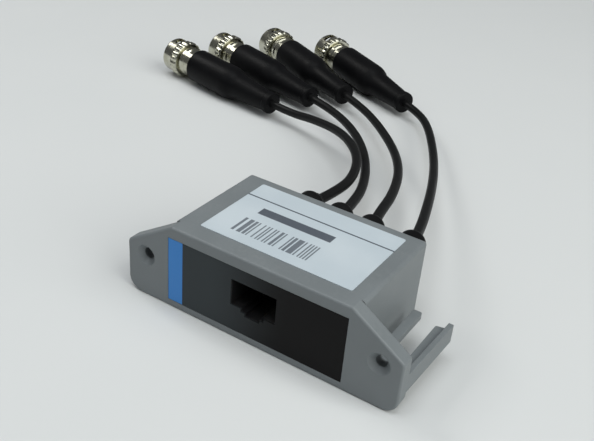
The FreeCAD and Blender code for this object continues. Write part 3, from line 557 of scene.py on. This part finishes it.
@dataclass(frozen=True)
class FrontFilmFinish(Finish):
    """Dark printed film around the socket, with a blue band down its left end."""

    name: str = "printed_front_film"
    ink: Colour = (0.037, 0.045, 0.049)
    # Painted light and shade: the ink shades from its own colour at the left to this darker ink at
    # the right.
    painted_shade_ink: Colour = (0.0020, 0.0015, 0.0017)
    painted_light_start: float = -14.0 * MM
    painted_light_end: float = 9.0 * MM
    band: PrintBox = PrintBox(-24.4 * MM, -20.1 * MM, 1.0 * MM, 20.0 * MM)
    band_colour: Colour = (0.062, 0.245, 0.62)
    softness: float = 0.00006
    smooth: float = 0.30
    rough: float = 0.41
    specular: float = 0.13
    grain_size: float = 0.0006
    grain_height: float = 0.000006
    edge_radius: float = 0.00008

    def shade(self, sheet: NodeSheet) -> Socket:
        """The band over ink with painted light, lighter at the left and darker to the right, under
        a thin satin film.

        Args:
            sheet: The node sheet.

        Returns:
            The shader socket.
        """
        here = self.here(sheet)
        place = sheet.add("SeparateXYZ", {0: here}).outputs
        band = self.band.mask(sheet, place["X"], place["Z"], self.softness)
        grain = sheet.effect(Effect.GRAIN, Point=here, Size=self.grain_size)
        edge = sheet.effect(Effect.EDGE, Point=here, Radius=self.edge_radius)
        # Painted light falloff across the film, lighter at the left and darker to the right.
        painted_light_falloff = sheet.ramp(place["X"], self.painted_light_start, self.painted_light_end)
        ink = sheet.blend(painted_light_falloff, self.ink, self.painted_shade_ink)
        colour = sheet.blend(band, ink, self.band_colour)
        rough = sheet.between(grain["Tone"], self.smooth, self.rough)
        return sheet.surface(
            colour, rough, grain["Height"], self.grain_height, edge["Normal"],
            {"Specular IOR Level": self.specular},
        )


@dataclass(frozen=True)
class RoofLabelFinish(Finish):
    """White film label on the roof with a rule, a solid field and a block of upright bars."""

    name: str = "roof_label"
    film: Colour = (0.49, 0.555, 0.60)
    film_cloud: Colour = (0.54, 0.60, 0.64)
    ink: Colour = (0.055, 0.065, 0.085)
    cover: float = 0.93
    rule: PrintBox = PrintBox(-0.03, 0.03, 6.95 * MM, 7.5 * MM)
    rule_softness: float = 0.00008
    solid: PrintBox = PrintBox(-12.2 * MM, 7.7 * MM, 1.0 * MM, 3.95 * MM)
    bars: PrintBox = PrintBox(-13.3 * MM, 8.9 * MM, -8.4 * MM, -2.0 * MM)
    bar_pitch: float = 0.36 * MM
    bare_share: float = 0.52
    bar_ink: float = 0.85
    softness: float = 0.0001
    smooth: float = 0.40
    rough: float = 0.50
    grain_size: float = 0.0005
    grain_height: float = 0.000004
    edge_radius: float = 0.00006
    dust: float = 0.05
    dust_colour: Colour = (0.5, 0.5, 0.48)

    def shade(self, sheet: NodeSheet) -> Socket:
        """The print over the film.

        Args:
            sheet: The node sheet.

        Returns:
            The shader socket.
        """
        here = self.here(sheet)
        place = sheet.add("SeparateXYZ", {0: here}).outputs
        across, up = place["X"], place["Y"]
        rule = self.rule.mask(sheet, across, up, self.rule_softness)
        solid = self.solid.mask(sheet, across, up, self.softness)
        block = self.bars.mask(sheet, across, up, self.softness)
        column = sheet.math("FLOOR", sheet.math("DIVIDE", across, self.bar_pitch))
        pick = sheet.add("TexWhiteNoise", {"W": column}, noise_dimensions="1D").outputs["Value"]
        inked = sheet.math("GREATER_THAN", pick, self.bare_share)
        bars = sheet.math("MULTIPLY", sheet.math("MULTIPLY", block, inked), self.bar_ink)
        grain = sheet.effect(Effect.GRAIN, Point=here, Size=self.grain_size)
        edge = sheet.effect(Effect.EDGE, Point=here, Radius=self.edge_radius)
        dust = sheet.effect(Effect.DUST, Point=here, Amount=self.dust)
        printed = sheet.math("MAXIMUM", rule, sheet.math("MAXIMUM", solid, bars))
        film = sheet.blend(grain["Tone"], self.film, self.film_cloud)
        colour = sheet.blend(sheet.math("MULTIPLY", printed, self.cover), film, self.ink)
        colour = sheet.blend(dust["Mask"], colour, self.dust_colour)
        rough = sheet.between(grain["Tone"], self.smooth, self.rough)
        return sheet.surface(
            colour, rough, grain["Height"], self.grain_height, edge["Normal"], {}
        )


@dataclass(frozen=True)
class BoardFinish(Finish):
    """Green coated laminate with copper tracks that show through the coating."""

    name: str = "coated_board"
    coating: Colour = (0.010, 0.085, 0.030)
    track: Colour = (0.030, 0.180, 0.060)
    pitch: float = 0.0016
    track_width: float = 0.12
    track_run: float = 4.0
    track_height: float = 0.00003
    relief: float = 0.6
    patch: float = 0.006
    smooth: float = 0.28
    rough: float = 0.38
    edge_radius: float = 0.0001

    def shade(self, sheet: NodeSheet) -> Socket:
        """Straight tracks at a regular pitch, broken up by noise.

        Args:
            sheet: The node sheet.

        Returns:
            The shader socket.
        """
        here = self.here(sheet)
        inputs = {"Vector": here, "Scale": 1.0 / self.pitch, "Mortar Size": self.track_width,
                  "Brick Width": self.track_run}
        grid = sheet.add("TexBrick", inputs).outputs["Fac"]
        gaps = sheet.ramp(sheet.noise(here, self.patch, 1.0), 0.42, 0.5)
        tracks = sheet.math("MULTIPLY", grid, gaps)
        edge = sheet.effect(Effect.EDGE, Point=here, Radius=self.edge_radius)
        colour = sheet.blend(tracks, self.coating, self.track)
        rough = sheet.between(tracks, self.smooth, self.rough)
        return sheet.surface(
            colour, rough, tracks, self.track_height, edge["Normal"], {}, self.relief
        )


@dataclass(frozen=True)
class FloorFinish(Finish):
    """Pale seamless paper under the object."""

    name: str = "pale_paper"
    colour: Colour = (0.64, 0.655, 0.655)
    cloud: Colour = (0.66, 0.67, 0.67)
    cloud_size: float = 0.05
    roughness: float = 0.75
    specular: float = 0.25

    def shade(self, sheet: NodeSheet) -> Socket:
        """Very faint clouds on matt paper.

        Args:
            sheet: The node sheet.

        Returns:
            The shader socket.
        """
        clouds = sheet.noise(self.here(sheet), self.cloud_size, 2.0)
        colour = sheet.blend(clouds, self.colour, self.cloud)
        inputs = {"Base Color": colour, "Roughness": self.roughness,
                  "Specular IOR Level": self.specular}
        return sheet.add("BsdfPrincipled", inputs).outputs[0]


GREY_HOUSING = MouldedFinish(
    "grey_housing", (0.162, 0.180, 0.188), (0.177, 0.196, 0.205), (0.27, 0.288, 0.292),
    roughness=0.48, grain_size=0.00042, grain_height=0.000014, edge_radius=0.00022,
)
BLACK_JACK = MouldedFinish(
    "black_jack", (0.008, 0.008, 0.009), (0.012, 0.012, 0.013), (0.03, 0.03, 0.03),
    roughness=0.42, dust=0.04, specular=0.25,
)
BLACK_BOOT = MouldedFinish(
    "black_boot", (0.0032, 0.0032, 0.0038), (0.0048, 0.0048, 0.0054), (0.012, 0.012, 0.013),
    roughness=0.46, grain_size=0.0005, grain_height=0.00002, dust=0.006, specular=0.09,
)
BLACK_JACKET = MouldedFinish(
    "black_jacket", (0.0060, 0.0062, 0.0064), (0.0085, 0.0086, 0.0088), (0.014, 0.014, 0.014),
    roughness=0.42, grain_size=0.0008, dust=0.008, specular=0.13,
)
BLACK_RUBBER = MouldedFinish(
    "black_rubber", (0.0050, 0.0050, 0.0054), (0.0075, 0.0075, 0.0078), (0.016, 0.016, 0.016),
    dust=0.01, specular=0.12,
)
BLACK_CORE = MouldedFinish(
    "black_core", (0.010, 0.010, 0.011), (0.016, 0.016, 0.016), (0.04, 0.04, 0.04),
    roughness=0.38, dust=0.02,
)
GLAZED_CERAMIC = MouldedFinish(
    "glazed_ceramic", (0.50, 0.46, 0.38), (0.55, 0.51, 0.43), (0.62, 0.58, 0.50),
    roughness=0.22, grain_height=0.000004, dust=0.02,
)
WHITE_POLYMER = MouldedFinish(
    "white_polymer", (0.72, 0.72, 0.69), (0.77, 0.77, 0.74), (0.80, 0.80, 0.78),
    roughness=0.42, grain_height=0.000006, dust=0.02,
)
RED_SILICONE = MouldedFinish(
    "red_silicone", (0.20, 0.030, 0.018), (0.24, 0.040, 0.024), (0.30, 0.07, 0.05), dust=0.03
)
BRIGHT_NICKEL = PlatedFinish(
    "bright_nickel", (0.58, 0.57, 0.475), (0.40, 0.39, 0.30), roughness=0.15
)
PLAIN_STEEL = PlatedFinish("plain_steel", (0.55, 0.55, 0.54), (0.38, 0.38, 0.37), roughness=0.28)
GOLD_FLASH = PlatedFinish("gold_flash", (0.83, 0.58, 0.23), (0.66, 0.44, 0.17), roughness=0.2)
PLUG_FINISHES: dict[str, Finish] = {
    "plug_body": BRIGHT_NICKEL,
    "insulator": WHITE_POLYMER,
    "centre_pin": GOLD_FLASH,
    "gasket": RED_SILICONE,
    "spring_washer": PLAIN_STEEL,
}


def dress(node: str, finish: Finish) -> Item:
    """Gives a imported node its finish.

    Args:
        node: The node's name.
        finish: The finish to put on all of its faces.

    Returns:
        The node's object.
    """
    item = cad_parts[node]
    item.data.materials.clear()
    item.data.materials.append(finish.material())
    LOG.info("%s wears %s", node, finish.name)
    return item


def settle_piece(item: Item, finish: Finish, node: str, body: str = "housing") -> Item:
    """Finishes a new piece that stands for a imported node.

    Args:
        item: The new piece, in place.
        finish: Its finish.
        node: The node that it stands for.
        body: The body that it rides on.

    Returns:
        The piece.
    """
    item.data.materials.clear()
    item.data.materials.append(finish.material())
    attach(item, body)
    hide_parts(node)
    LOG.info("%s stands for %s on %s", item.name, node, body)
    return item


def rounded(corners: Sequence[tuple[float, float, float]], steps: int = 5) -> list[Point]:
    """A profile with its corners rounded.

    Args:
        corners: Radius, height and rounding of each corner, which is 0 at both ends.
        steps: How many points each rounding gets.

    Returns:
        The points of the rounded profile, none twice in a row.
    """
    points: list[Point] = []
    for index, (radius, height, rounding) in enumerate(corners):
        corner = Vector((radius, height))
        if rounding <= 0:
            points.append((radius, height))
            continue
        before = Vector(corners[index - 1][:2]) - corner
        after = Vector(corners[index + 1][:2]) - corner
        reach = min(rounding, before.length * ROUNDING_SHARE, after.length * ROUNDING_SHARE)
        start = corner + before.normalized() * reach
        end = corner + after.normalized() * reach
        for step in range(steps + 1):
            share = step / steps
            place = start * (1 - share) ** 2 + corner * 2 * share * (1 - share) + end * share ** 2
            points.append((place.x, place.y))
    kept = points[:1]
    for point in points:
        if math.dist(point, kept[-1]) > TOUCHING:
            kept.append(point)
    return kept


def turned(
    name: str, profile: Sequence[Point], place: Matrix, segments: int = 64,
    form: Callable[[Vector], Vector] | None = None,
) -> Item:
    """A piece turned about its own Z axis.

    Args:
        name: The piece's name.
        profile: Radius and height of each point, in metres, from one end round to the other.
        place: Where the piece lies.
        segments: How many steps there are round the axis.
        form: Moves a point of the turned shape, for flutes and bends.

    Returns:
        The new object, smoothly shaded, with its place in its mesh.
    """
    mesh = bpy.data.meshes.new(name)
    shape = bmesh.new()
    rings: list[list[bmesh.types.BMVert]] = []
    for radius, height in profile:
        ring: list[bmesh.types.BMVert] = []
        for step in range(segments if radius > TOUCHING else 1):
            angle = math.tau * step / segments
            point = Vector((radius * math.cos(angle), radius * math.sin(angle), height))
            ring.append(shape.verts.new(form(point) if form else point))
        rings.append(ring)
    if profile[0][0] > TOUCHING:
        rings.append(rings[0])
    for first, second in zip(rings, rings[1:]):
        for step in range(segments):
            following = (step + 1) % segments
            corners = [first[step % len(first)], first[following % len(first)],
                       second[following % len(second)], second[step % len(second)]]
            unique = list(dict.fromkeys(corners))
            if len(unique) > 2:
                shape.faces.new(unique)
    bmesh.ops.recalc_face_normals(shape, faces=shape.faces)
    shape.transform(place)
    shape.to_mesh(mesh)
    shape.free()
    shade_smooth(mesh)
    return link(bpy.data.objects.new(name, mesh))


def carve(item: Item, cutter: Item) -> None:
    """Cuts one piece out of another and removes the cutter.

    Args:
        item: The piece that is cut, which gets a new mesh.
        cutter: The closed solid to take away.
    """
    cut = item.modifiers.new("cut", "BOOLEAN")
    cut.operation = "DIFFERENCE"
    cut.solver = "EXACT"
    cut.object = cutter
    graph = bpy.context.evaluated_depsgraph_get()
    mesh = bpy.data.meshes.new_from_object(item.evaluated_get(graph))
    item.modifiers.clear()
    item.data = mesh
    bpy.data.objects.remove(cutter)
    shade_smooth(mesh)


def shade_smooth(mesh: bpy.types.Mesh) -> None:
    """Shades a mesh smoothly, except over its sharp edges.

    Args:
        mesh: The mesh to shade.
    """
    mesh.polygons.foreach_set("use_smooth", [True] * len(mesh.polygons))
    mesh.set_sharp_from_angle(angle=math.radians(SHARP_ANGLE))
    mesh.update()


def link(item: Item) -> Item:
    """Puts a new object in the scene and returns it."""
    bpy.context.scene.collection.objects.link(item)
    return item


@dataclass(frozen=True)
class DressedGroup:
    """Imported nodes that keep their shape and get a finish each."""

    finishes: dict[str, Finish]

    def build(self) -> None:
        """Dresses the group's nodes."""
        for node, finish in self.finishes.items():
            dress(node, finish)


HOUSING_SHELL = DressedGroup({
    "top_cover": GREY_HOUSING,
    "base_plate": GREY_HOUSING,
    "front_label": FrontFilmFinish(),
    "top_label": RoofLabelFinish(),
    "cover_screws": PLAIN_STEEL,
})
SOCKET_AND_BOARD = DressedGroup({
    "jack_shell": BLACK_JACK,
    "jack_contacts": GOLD_FLASH,
    "circuit_board": BoardFinish(),
    "surge_arresters": GLAZED_CERAMIC,
    "inner_leads": BLACK_JACKET,
    **{f"transformer_{channel}": BLACK_CORE for channel in range(1, 5)},
})


@dataclass(frozen=True)
class PlugLie:
    """Where one plug lies: its ring's centre on the floor, its heading and its turn in degrees."""

    across: float
    along: float
    heading: float
    turn: float


@dataclass(frozen=True)
class GrommetLie:
    """Where a grommet sits across the rear wall, and how far its tip leans, in degrees."""

    across: float
    aside: float
    down: float

    @property
    def way(self) -> Vector:
        """The direction in which the tip lets its cable out."""
        aside, down = math.radians(self.aside), math.radians(self.down)
        level = math.cos(down)
        return Vector((-math.sin(aside) * level, math.cos(aside) * level, -math.sin(down)))


@dataclass(frozen=True)
class RingSizes:
    """Sizes of a coupling ring, in metres."""

    diameter: float = 13.4 * MM
    front_diameter: float = 12.3 * MM
    length: float = 7.8 * MM
    grip: float = 3.2 * MM
    bore: float = 9.9 * MM
    rear_wall: float = 1.0 * MM
    rear_hole: float = 8.16 * MM
    rear_bevel: float = 0.55 * MM
    bevel: float = 0.45 * MM
    mouth_bevel: float = 0.3 * MM
    mouth_rise: float = 0.35 * MM
    flutes: int = 20
    flute_steps: int = 8
    flute_depth: float = 0.38 * MM
    slot_width: float = 2.0 * MM
    slot_span: float = 3.6 * MM
    slot_rise: float = 1.3 * MM
    slot_setback: float = 1.7 * MM
    slot_steps: int = 12
    cut_start: float = 3.0 * MM
    cut_depth: float = 6.0 * MM


@dataclass(frozen=True)
class BootSizes:
    """Sizes of a cable boot, in metres, from its mouth backwards."""

    mouth_diameter: float = 11.4 * MM
    mouth_bevel: float = 0.5 * MM
    diameter: float = 12.0 * MM
    barrel: float = 18.4 * MM
    shoulder: float = 4.6 * MM
    shoulder_drop: float = 0.34 * MM
    shoulder_crown: float = 0.45
    shoulder_diameter: float = 9.3 * MM
    taper: float = 14.6 * MM
    taper_diameter: float = 7.0 * MM
    collar: float = 2.2 * MM
    collar_diameter: float = 7.6 * MM
    collar_rise: float = 0.25 * MM
    collar_edge: float = 0.2 * MM
    collar_bevel: float = 0.5 * MM
    hole_diameter: float = 7.26 * MM
    hole_depth: float = 8.4 * MM


@dataclass(frozen=True)
class GrommetSizes:
    """Sizes of a cable grommet, in metres, from the outside of the rear wall."""

    wall: float = 1.5 * MM
    neck_diameter: float = 4.2 * MM
    inner_diameter: float = 5.1 * MM
    inner_length: float = 1.2 * MM
    flange_diameter: float = 6.8 * MM
    flange_length: float = 4.6 * MM
    flange_bevel: float = 1.0 * MM
    sleeve_diameter: float = 4.8 * MM
    sleeve_sink: float = 1.6 * MM
    tip_diameter: float = 3.6 * MM
    tip_length: float = 3.8 * MM
    tip_flare: float = 0.1 * MM
    tip_edge: float = 0.4 * MM
    tip_bevel: float = 0.25 * MM


@dataclass
class Pigtail:
    """One channel: grommet, cable, boot and bayonet plug."""

    channel: int
    lie: PlugLie
    root: GrommetLie
    bends: tuple[Place, ...]
    cable_length: float
    ring: RingSizes = field(default_factory=RingSizes)
    boot: BootSizes = field(default_factory=BootSizes)
    grommet: GrommetSizes = field(default_factory=GrommetSizes)
    half_depth: float = 16.4 * MM
    grommet_height: float = 17.9 * MM
    cable_diameter: float = 2.7 * MM
    head_run: float = 6.0 * MM
    tail_run: float = 8.5 * MM
    boot_front: float = 9.6 * MM
    floor_clearance: float = 0.02 * MM

    @property
    def place(self) -> Matrix:
        """The plug's place: its ring's centre is the origin and its mouth looks along +Z."""
        radius = self.ring.diameter / 2
        rear = self.ring.length / 2
        span = self.boot_front + self.boot.barrel - rear
        tilt = math.atan((radius - self.boot.diameter / 2) / span)
        height = radius * math.cos(tilt) + rear * math.sin(tilt) + self.floor_clearance
        move = Matrix.Translation((self.lie.across, self.lie.along, height))
        turn = Matrix.Rotation(math.radians(self.lie.heading), 4, "Z")
        pitch = Matrix.Rotation(math.radians(90) - tilt, 4, "Y")
        return move @ turn @ pitch @ Matrix.Rotation(math.radians(self.lie.turn), 4, "Z")

    @property
    def boot_back(self) -> float:
        """Distance from the ring's centre back to the boot's end."""
        boot = self.boot
        return self.boot_front + boot.barrel + boot.shoulder + boot.taper + boot.collar

    @property
    def exit(self) -> Vector:
        """Where the cable leaves its grommet's tip."""
        along = self.half_depth + self.grommet.flange_length - self.grommet.sleeve_sink
        foot = Vector((self.root.across, along, self.grommet_height))
        return foot + self.root.way * self.grommet.tip_length

    def build(self) -> None:
        """Builds the pigtail's pieces."""
        cable = self.build_cable()
        pieces = [self.build_boot(), self.build_ring()]
        self.build_grommet()
        for name, finish in PLUG_FINISHES.items():
            pieces.append(dress(f"{name}_{self.channel}", finish))

    def build_cable(self) -> Item:
        """The coaxial cable along its route.

        Returns:
            The cable's curve.
        """
        place = self.place
        start = self.exit
        tail = place @ Vector((0.0, 0.0, -self.boot_back))
        lead = place @ Vector((0.0, 0.0, -self.boot_back - self.tail_run))
        head = start + self.root.way * self.head_run
        route = [start, head, *(Vector(bend) * MM for bend in self.bends), lead, tail]
        curve = bpy.data.curves.new(f"pigtail_cable_{self.channel}", "CURVE")
        curve.dimensions = "3D"
        curve.bevel_depth = self.cable_diameter / 2
        curve.bevel_resolution = 7
        curve.resolution_u = 20
        curve.use_fill_caps = True
        spline = curve.splines.new("NURBS")
        spline.points.add(len(route) - 1)
        for knot, point in zip(spline.points, route):
            knot.co = (*point, 1.0)
        spline.order_u = 3
        spline.use_endpoint_u = True
        cable = link(bpy.data.objects.new(curve.name, curve))
        return settle_piece(cable, BLACK_JACKET, f"cable_{self.channel}")

    def build_grommet(self) -> None:
        """Builds the rubber grommet in the rear wall."""
        sizes = self.grommet
        inner, neck = sizes.inner_diameter / 2, sizes.neck_diameter / 2
        flange, sleeve = sizes.flange_diameter / 2, sizes.sleeve_diameter / 2
        tip = sizes.tip_diameter / 2
        foot = sizes.flange_length - sizes.sleeve_sink
        end = foot + sizes.tip_length
        corners = [
            (0.0, -sizes.wall - sizes.inner_length, 0.0),
            (inner, -sizes.wall - sizes.inner_length, 0.3 * MM),
            (inner, -sizes.wall, 0.1 * MM),
            (neck, -sizes.wall, 0.05 * MM),
            (neck, 0.0, 0.05 * MM),
            (flange, 0.0, 0.25 * MM),
            (flange, sizes.flange_length - sizes.flange_bevel, 1.0 * MM),
            (flange - sizes.flange_bevel, sizes.flange_length, 0.8 * MM),
            (sleeve, sizes.flange_length, 0.35 * MM),
            (tip + sizes.tip_flare, end - sizes.tip_edge, 0.3 * MM),
            (tip - sizes.tip_bevel, end, 0.2 * MM),
            (0.0, end, 0.0),
        ]
        move = Matrix.Translation((self.root.across, self.half_depth, self.grommet_height))
        place = move @ Matrix.Rotation(math.radians(-90), 4, "X")
        way = place.to_3x3().inverted() @ self.root.way
        lean = Vector((0.0, 0.0, 1.0)).rotation_difference(way)
        pivot = Vector((0.0, 0.0, foot))

        def bend(point: Vector) -> Vector:
            """Leans the tip towards its cable."""
            share = min(max((point.z - foot) / sizes.sleeve_sink, 0.0), 1.0)
            return point.lerp(pivot + lean @ (point - pivot), share)

        name = f"cable_grommet_{self.channel}"
        item = turned(name, rounded(corners), place, segments=48, form=bend)
        settle_piece(item, BLACK_RUBBER, f"grommet_{self.channel}")

    def build_boot(self) -> Item:
        """The moulded boot behind the plug.

        Returns:
            The boot.
        """
        sizes = self.boot
        outer, hole = sizes.diameter / 2, sizes.hole_diameter / 2
        shoulder, taper = sizes.shoulder_diameter / 2, sizes.taper_diameter / 2
        collar = sizes.collar_diameter / 2
        front = -self.boot_front
        barrel_end = front - sizes.barrel
        crown = barrel_end - sizes.shoulder * sizes.shoulder_crown
        shoulder_end = barrel_end - sizes.shoulder
        taper_end = shoulder_end - sizes.taper
        back = taper_end - sizes.collar
        corners = [
            (0.0, front - sizes.hole_depth, 0.0),
            (hole, front - sizes.hole_depth, 0.1 * MM),
            (hole, front, 0.1 * MM),
            (sizes.mouth_diameter / 2, front, 0.35 * MM),
            (outer, front - sizes.mouth_bevel, 0.4 * MM),
            (outer, barrel_end, 2.2 * MM),
            (outer - sizes.shoulder_drop, crown, 1.6 * MM),
            (shoulder, shoulder_end, 2.0 * MM),
            (taper, taper_end, 0.5 * MM),
            (collar, taper_end - sizes.collar_rise, 0.3 * MM),
            (collar, back + sizes.collar_edge, 0.35 * MM),
            (collar - sizes.collar_bevel, back, 0.3 * MM),
            (0.0, back, 0.0),
        ]
        item = turned(f"plug_boot_{self.channel}", rounded(corners), self.place)
        return settle_piece(item, BLACK_BOOT, f"boot_{self.channel}")

    def build_ring(self) -> Item:
        """The coupling ring with its fluted grip and slanted slots.

        Returns:
            The ring.
        """
        sizes = self.ring
        half = sizes.length / 2
        outer, front, bore = sizes.diameter / 2, sizes.front_diameter / 2, sizes.bore / 2
        grip_front = sizes.grip - half
        corners = [
            (bore, half - sizes.mouth_rise, 0.0),
            (bore, sizes.rear_wall - half, 0.2 * MM),
            (sizes.rear_hole / 2, sizes.rear_wall - half, 0.1 * MM),
            (sizes.rear_hole / 2, -half, 0.1 * MM),
            (outer - sizes.rear_bevel, -half, 0.2 * MM),
            (outer, sizes.rear_bevel - half, 0.3 * MM),
            (outer, grip_front - sizes.bevel, 0.3 * MM),
            (outer - sizes.bevel, grip_front, 0.2 * MM),
            (front, grip_front, 0.2 * MM),
            (front, half - sizes.bevel, 0.35 * MM),
            (front - sizes.bevel, half, 0.3 * MM),
            (bore + sizes.mouth_bevel, half, 0.25 * MM),
            (bore, half - sizes.mouth_rise, 0.0),
        ]
        innermost = front + 0.1 * MM
        foremost = grip_front + 0.01 * MM

        def flute(point: Vector) -> Vector:
            """Cuts rounded flutes into the grip."""
            radius = point.xy.length
            if radius < innermost or point.z > foremost:
                return point
            wave = 0.5 + 0.5 * math.cos(math.atan2(point.y, point.x) * sizes.flutes)
            share = 1.0 - sizes.flute_depth * wave ** 2 / radius
            return Vector((point.x * share, point.y * share, point.z))

        profile = rounded(corners, 4)[:-1]
        segments = sizes.flutes * sizes.flute_steps
        item = turned(f"bayonet_ring_{self.channel}", profile, self.place, segments, form=flute)
        carve(item, self.build_slot_cutter())
        node, body = f"coupling_ring_{self.channel}", f"ring_{self.channel}"
        return settle_piece(item, BRIGHT_NICKEL, node, body)

    def build_slot_cutter(self) -> Item:
        """Two slanted round-ended bars, one through each side of the ring's front.

        Returns:
            The cutter, in the ring's place.
        """
        sizes = self.ring
        reach = sizes.slot_span / 2
        top = sizes.length / 2 - sizes.slot_setback
        ends = (Vector((-reach, 0.0, top)), Vector((reach, 0.0, top - sizes.slot_rise)))
        ahead = (ends[1] - ends[0]).normalized()
        turn = 180.0 / sizes.slot_steps
        shape = bmesh.new()
        for side in (0.0, math.pi):
            spin = Matrix.Rotation(side, 4, "Z")
            rim = []
            for end, start in ((ends[1], -90.0), (ends[0], 90.0)):
                for step in range(sizes.slot_steps + 1):
                    swing = Matrix.Rotation(-math.radians(start + turn * step), 3, "Y")
                    rim.append(end + swing @ ahead * (sizes.slot_width / 2))
            inward = Vector((0.0, sizes.cut_start, 0.0))
            face = shape.faces.new([shape.verts.new(spin @ (point + inward)) for point in rim])
            grown = bmesh.ops.extrude_face_region(shape, geom=[face])["geom"]
            moved = [vert for vert in grown if isinstance(vert, bmesh.types.BMVert)]
            outward = spin @ Vector((0.0, sizes.cut_depth, 0.0))
            bmesh.ops.translate(shape, verts=moved, vec=outward)
        bmesh.ops.recalc_face_normals(shape, faces=shape.faces)
        shape.transform(self.place)
        mesh = bpy.data.meshes.new("slot_cutter")
        shape.to_mesh(mesh)
        shape.free()
        return link(bpy.data.objects.new("slot_cutter", mesh))


@dataclass(frozen=True)
class Lamp:
    """One soft square light, in metres and watts."""

    name: str
    place: Place
    aim: Place
    size: float
    power: float
    colour: Colour

    def build(self) -> None:
        """Sets the light up, looking at its aim."""
        light = bpy.data.lights.new(self.name, "AREA")
        light.size = self.size
        light.energy = self.power
        light.color = self.colour
        item = link(bpy.data.objects.new(self.name, light))
        item.location = self.place
        sight = Vector(self.aim) - Vector(self.place)
        item.rotation_euler = sight.to_track_quat("-Z", "Y").to_euler()


LAMPS = (
    Lamp("window", (0.88, -0.08, 0.70), (0, 0.03, 0), 1.0, 10.2, (0.985, 1.0, 0.965)),
    Lamp("ceiling", (0.0, -0.12, 1.15), (0, 0, 0), 0.8, 5.9, (0.94, 0.975, 1.0)),
    Lamp("fill", (-0.34, -0.32, 0.40), (-0.03, 0, 0), 0.3, 0.30, (0.94, 0.98, 1.0)),
    Lamp("lamp", (-0.72, 0.08, 0.70), (-0.03, 0.06, 0), 0.3, 2.2, (1.0, 1.0, 0.97)),
)


@dataclass
class Studio:
    """Camera, floor, world and lamps. The camera's eye is in millimetres."""

    eye: Place = (80.89, -139.97, 123.56)
    right: Place = (0.83673782, 0.54210629, 0.07739884)
    up: Place = (-0.33854729, 0.40101351, 0.85121907)
    lens: float = 51.23
    nearest: float = 0.01
    floor_size: float = 4.0
    world_colour: Colour = (0.93, 0.96, 1.0)
    world_strength: float = 0.11

    def build_camera(self) -> None:
        """Sets the camera where the photograph was taken from."""
        camera = bpy.data.cameras.new("studio_camera")
        camera.lens = self.lens
        camera.clip_start = self.nearest
        item = link(bpy.data.objects.new("studio_camera", camera))
        right, up = Vector(self.right), Vector(self.up)
        axes = Matrix([right, up, right.cross(up)]).transposed()
        item.matrix_world = Matrix.Translation(Vector(self.eye) * MM) @ axes.to_4x4()
        bpy.context.scene.camera = item

    def build_floor(self) -> None:
        """Lays the pale floor."""
        half = self.floor_size / 2
        corners = [(-half, -half, 0), (half, -half, 0), (half, half, 0), (-half, half, 0)]
        mesh = bpy.data.meshes.new("floor")
        mesh.from_pydata(corners, [], [(0, 1, 2, 3)])
        mesh.materials.append(FloorFinish().material())
        floor = link(bpy.data.objects.new("floor", mesh))

    def build_world(self) -> None:
        """Sets the even surroundings."""
        world = bpy.data.worlds.new("studio_world")
        world.use_nodes = True
        world.node_tree.nodes.clear()
        sheet = NodeSheet(world.node_tree)
        inputs = {"Color": self.world_colour, "Strength": self.world_strength}
        sheet.add("OutputWorld", {"Surface": sheet.add("Background", inputs).outputs[0]})
        bpy.context.scene.world = world

    def build(self) -> None:
        """Sets up the whole studio."""
        self.build_camera()
        self.build_floor()
        self.build_world()
        for lamp in LAMPS:
            lamp.build()
        bpy.context.scene.view_settings.view_transform = "Standard"


LIES = (
    PlugLie(-114.2 * MM, 97.5 * MM, 168.5, 95.0),
    PlugLie(-106.4 * MM, 115.0 * MM, 164.2, 100.0),
    PlugLie(-95.5 * MM, 133.8 * MM, 154.2, 95.0),
    PlugLie(-75.1 * MM, 143.1 * MM, 153.1, 80.0),
)
ROOTS = (
    GrommetLie(-8.5 * MM, -1.0, 9.0),
    GrommetLie(0.2 * MM, 12.0, 11.0),
    GrommetLie(8.9 * MM, 15.5, 6.5),
    GrommetLie(19.8 * MM, 13.5, 9.5),
)
# Points of each cable between its grommet and its boot, in millimetres.
BENDS = (
    ((-9.2, 42.2, 14.8), (-15.9, 58.3, 13.5), (-28.9, 72.4, 11.5), (-44.3, 81.2, 8.2)),
    ((-5.7, 42.3, 13.4), (-14.2, 60.6, 10.3), (-25.1, 77.1, 8.0), (-37.4, 89.9, 6.5)),
    ((3.3, 42.2, 14.8), (-3.6, 60.8, 11.9), (-14.6, 79.2, 8.7), (-30.7, 97.5, 6.6)),
    ((13.5, 41.8, 14.2), (6.3, 62.6, 10.9), (-2.4, 83.2, 7.9), (-14.1, 104.6, 6.6)),
)
CABLE_LENGTHS = (96.3 * MM, 103.0 * MM, 111.3 * MM, 112.9 * MM)


def main() -> None:
    """Builds the studio and the object's sub-assemblies in order."""
    logging.basicConfig(level=logging.INFO, format="%(name)s: %(message)s")
    Studio().build()
    channels = zip(LIES, ROOTS, BENDS, CABLE_LENGTHS)
    for channel, (lie, root, bends, length) in enumerate(channels, start=1):
        Pigtail(channel, lie, root, bends, length).build()
    HOUSING_SHELL.build()
    SOCKET_AND_BOARD.build()


if __name__ == "__main__":
    main()
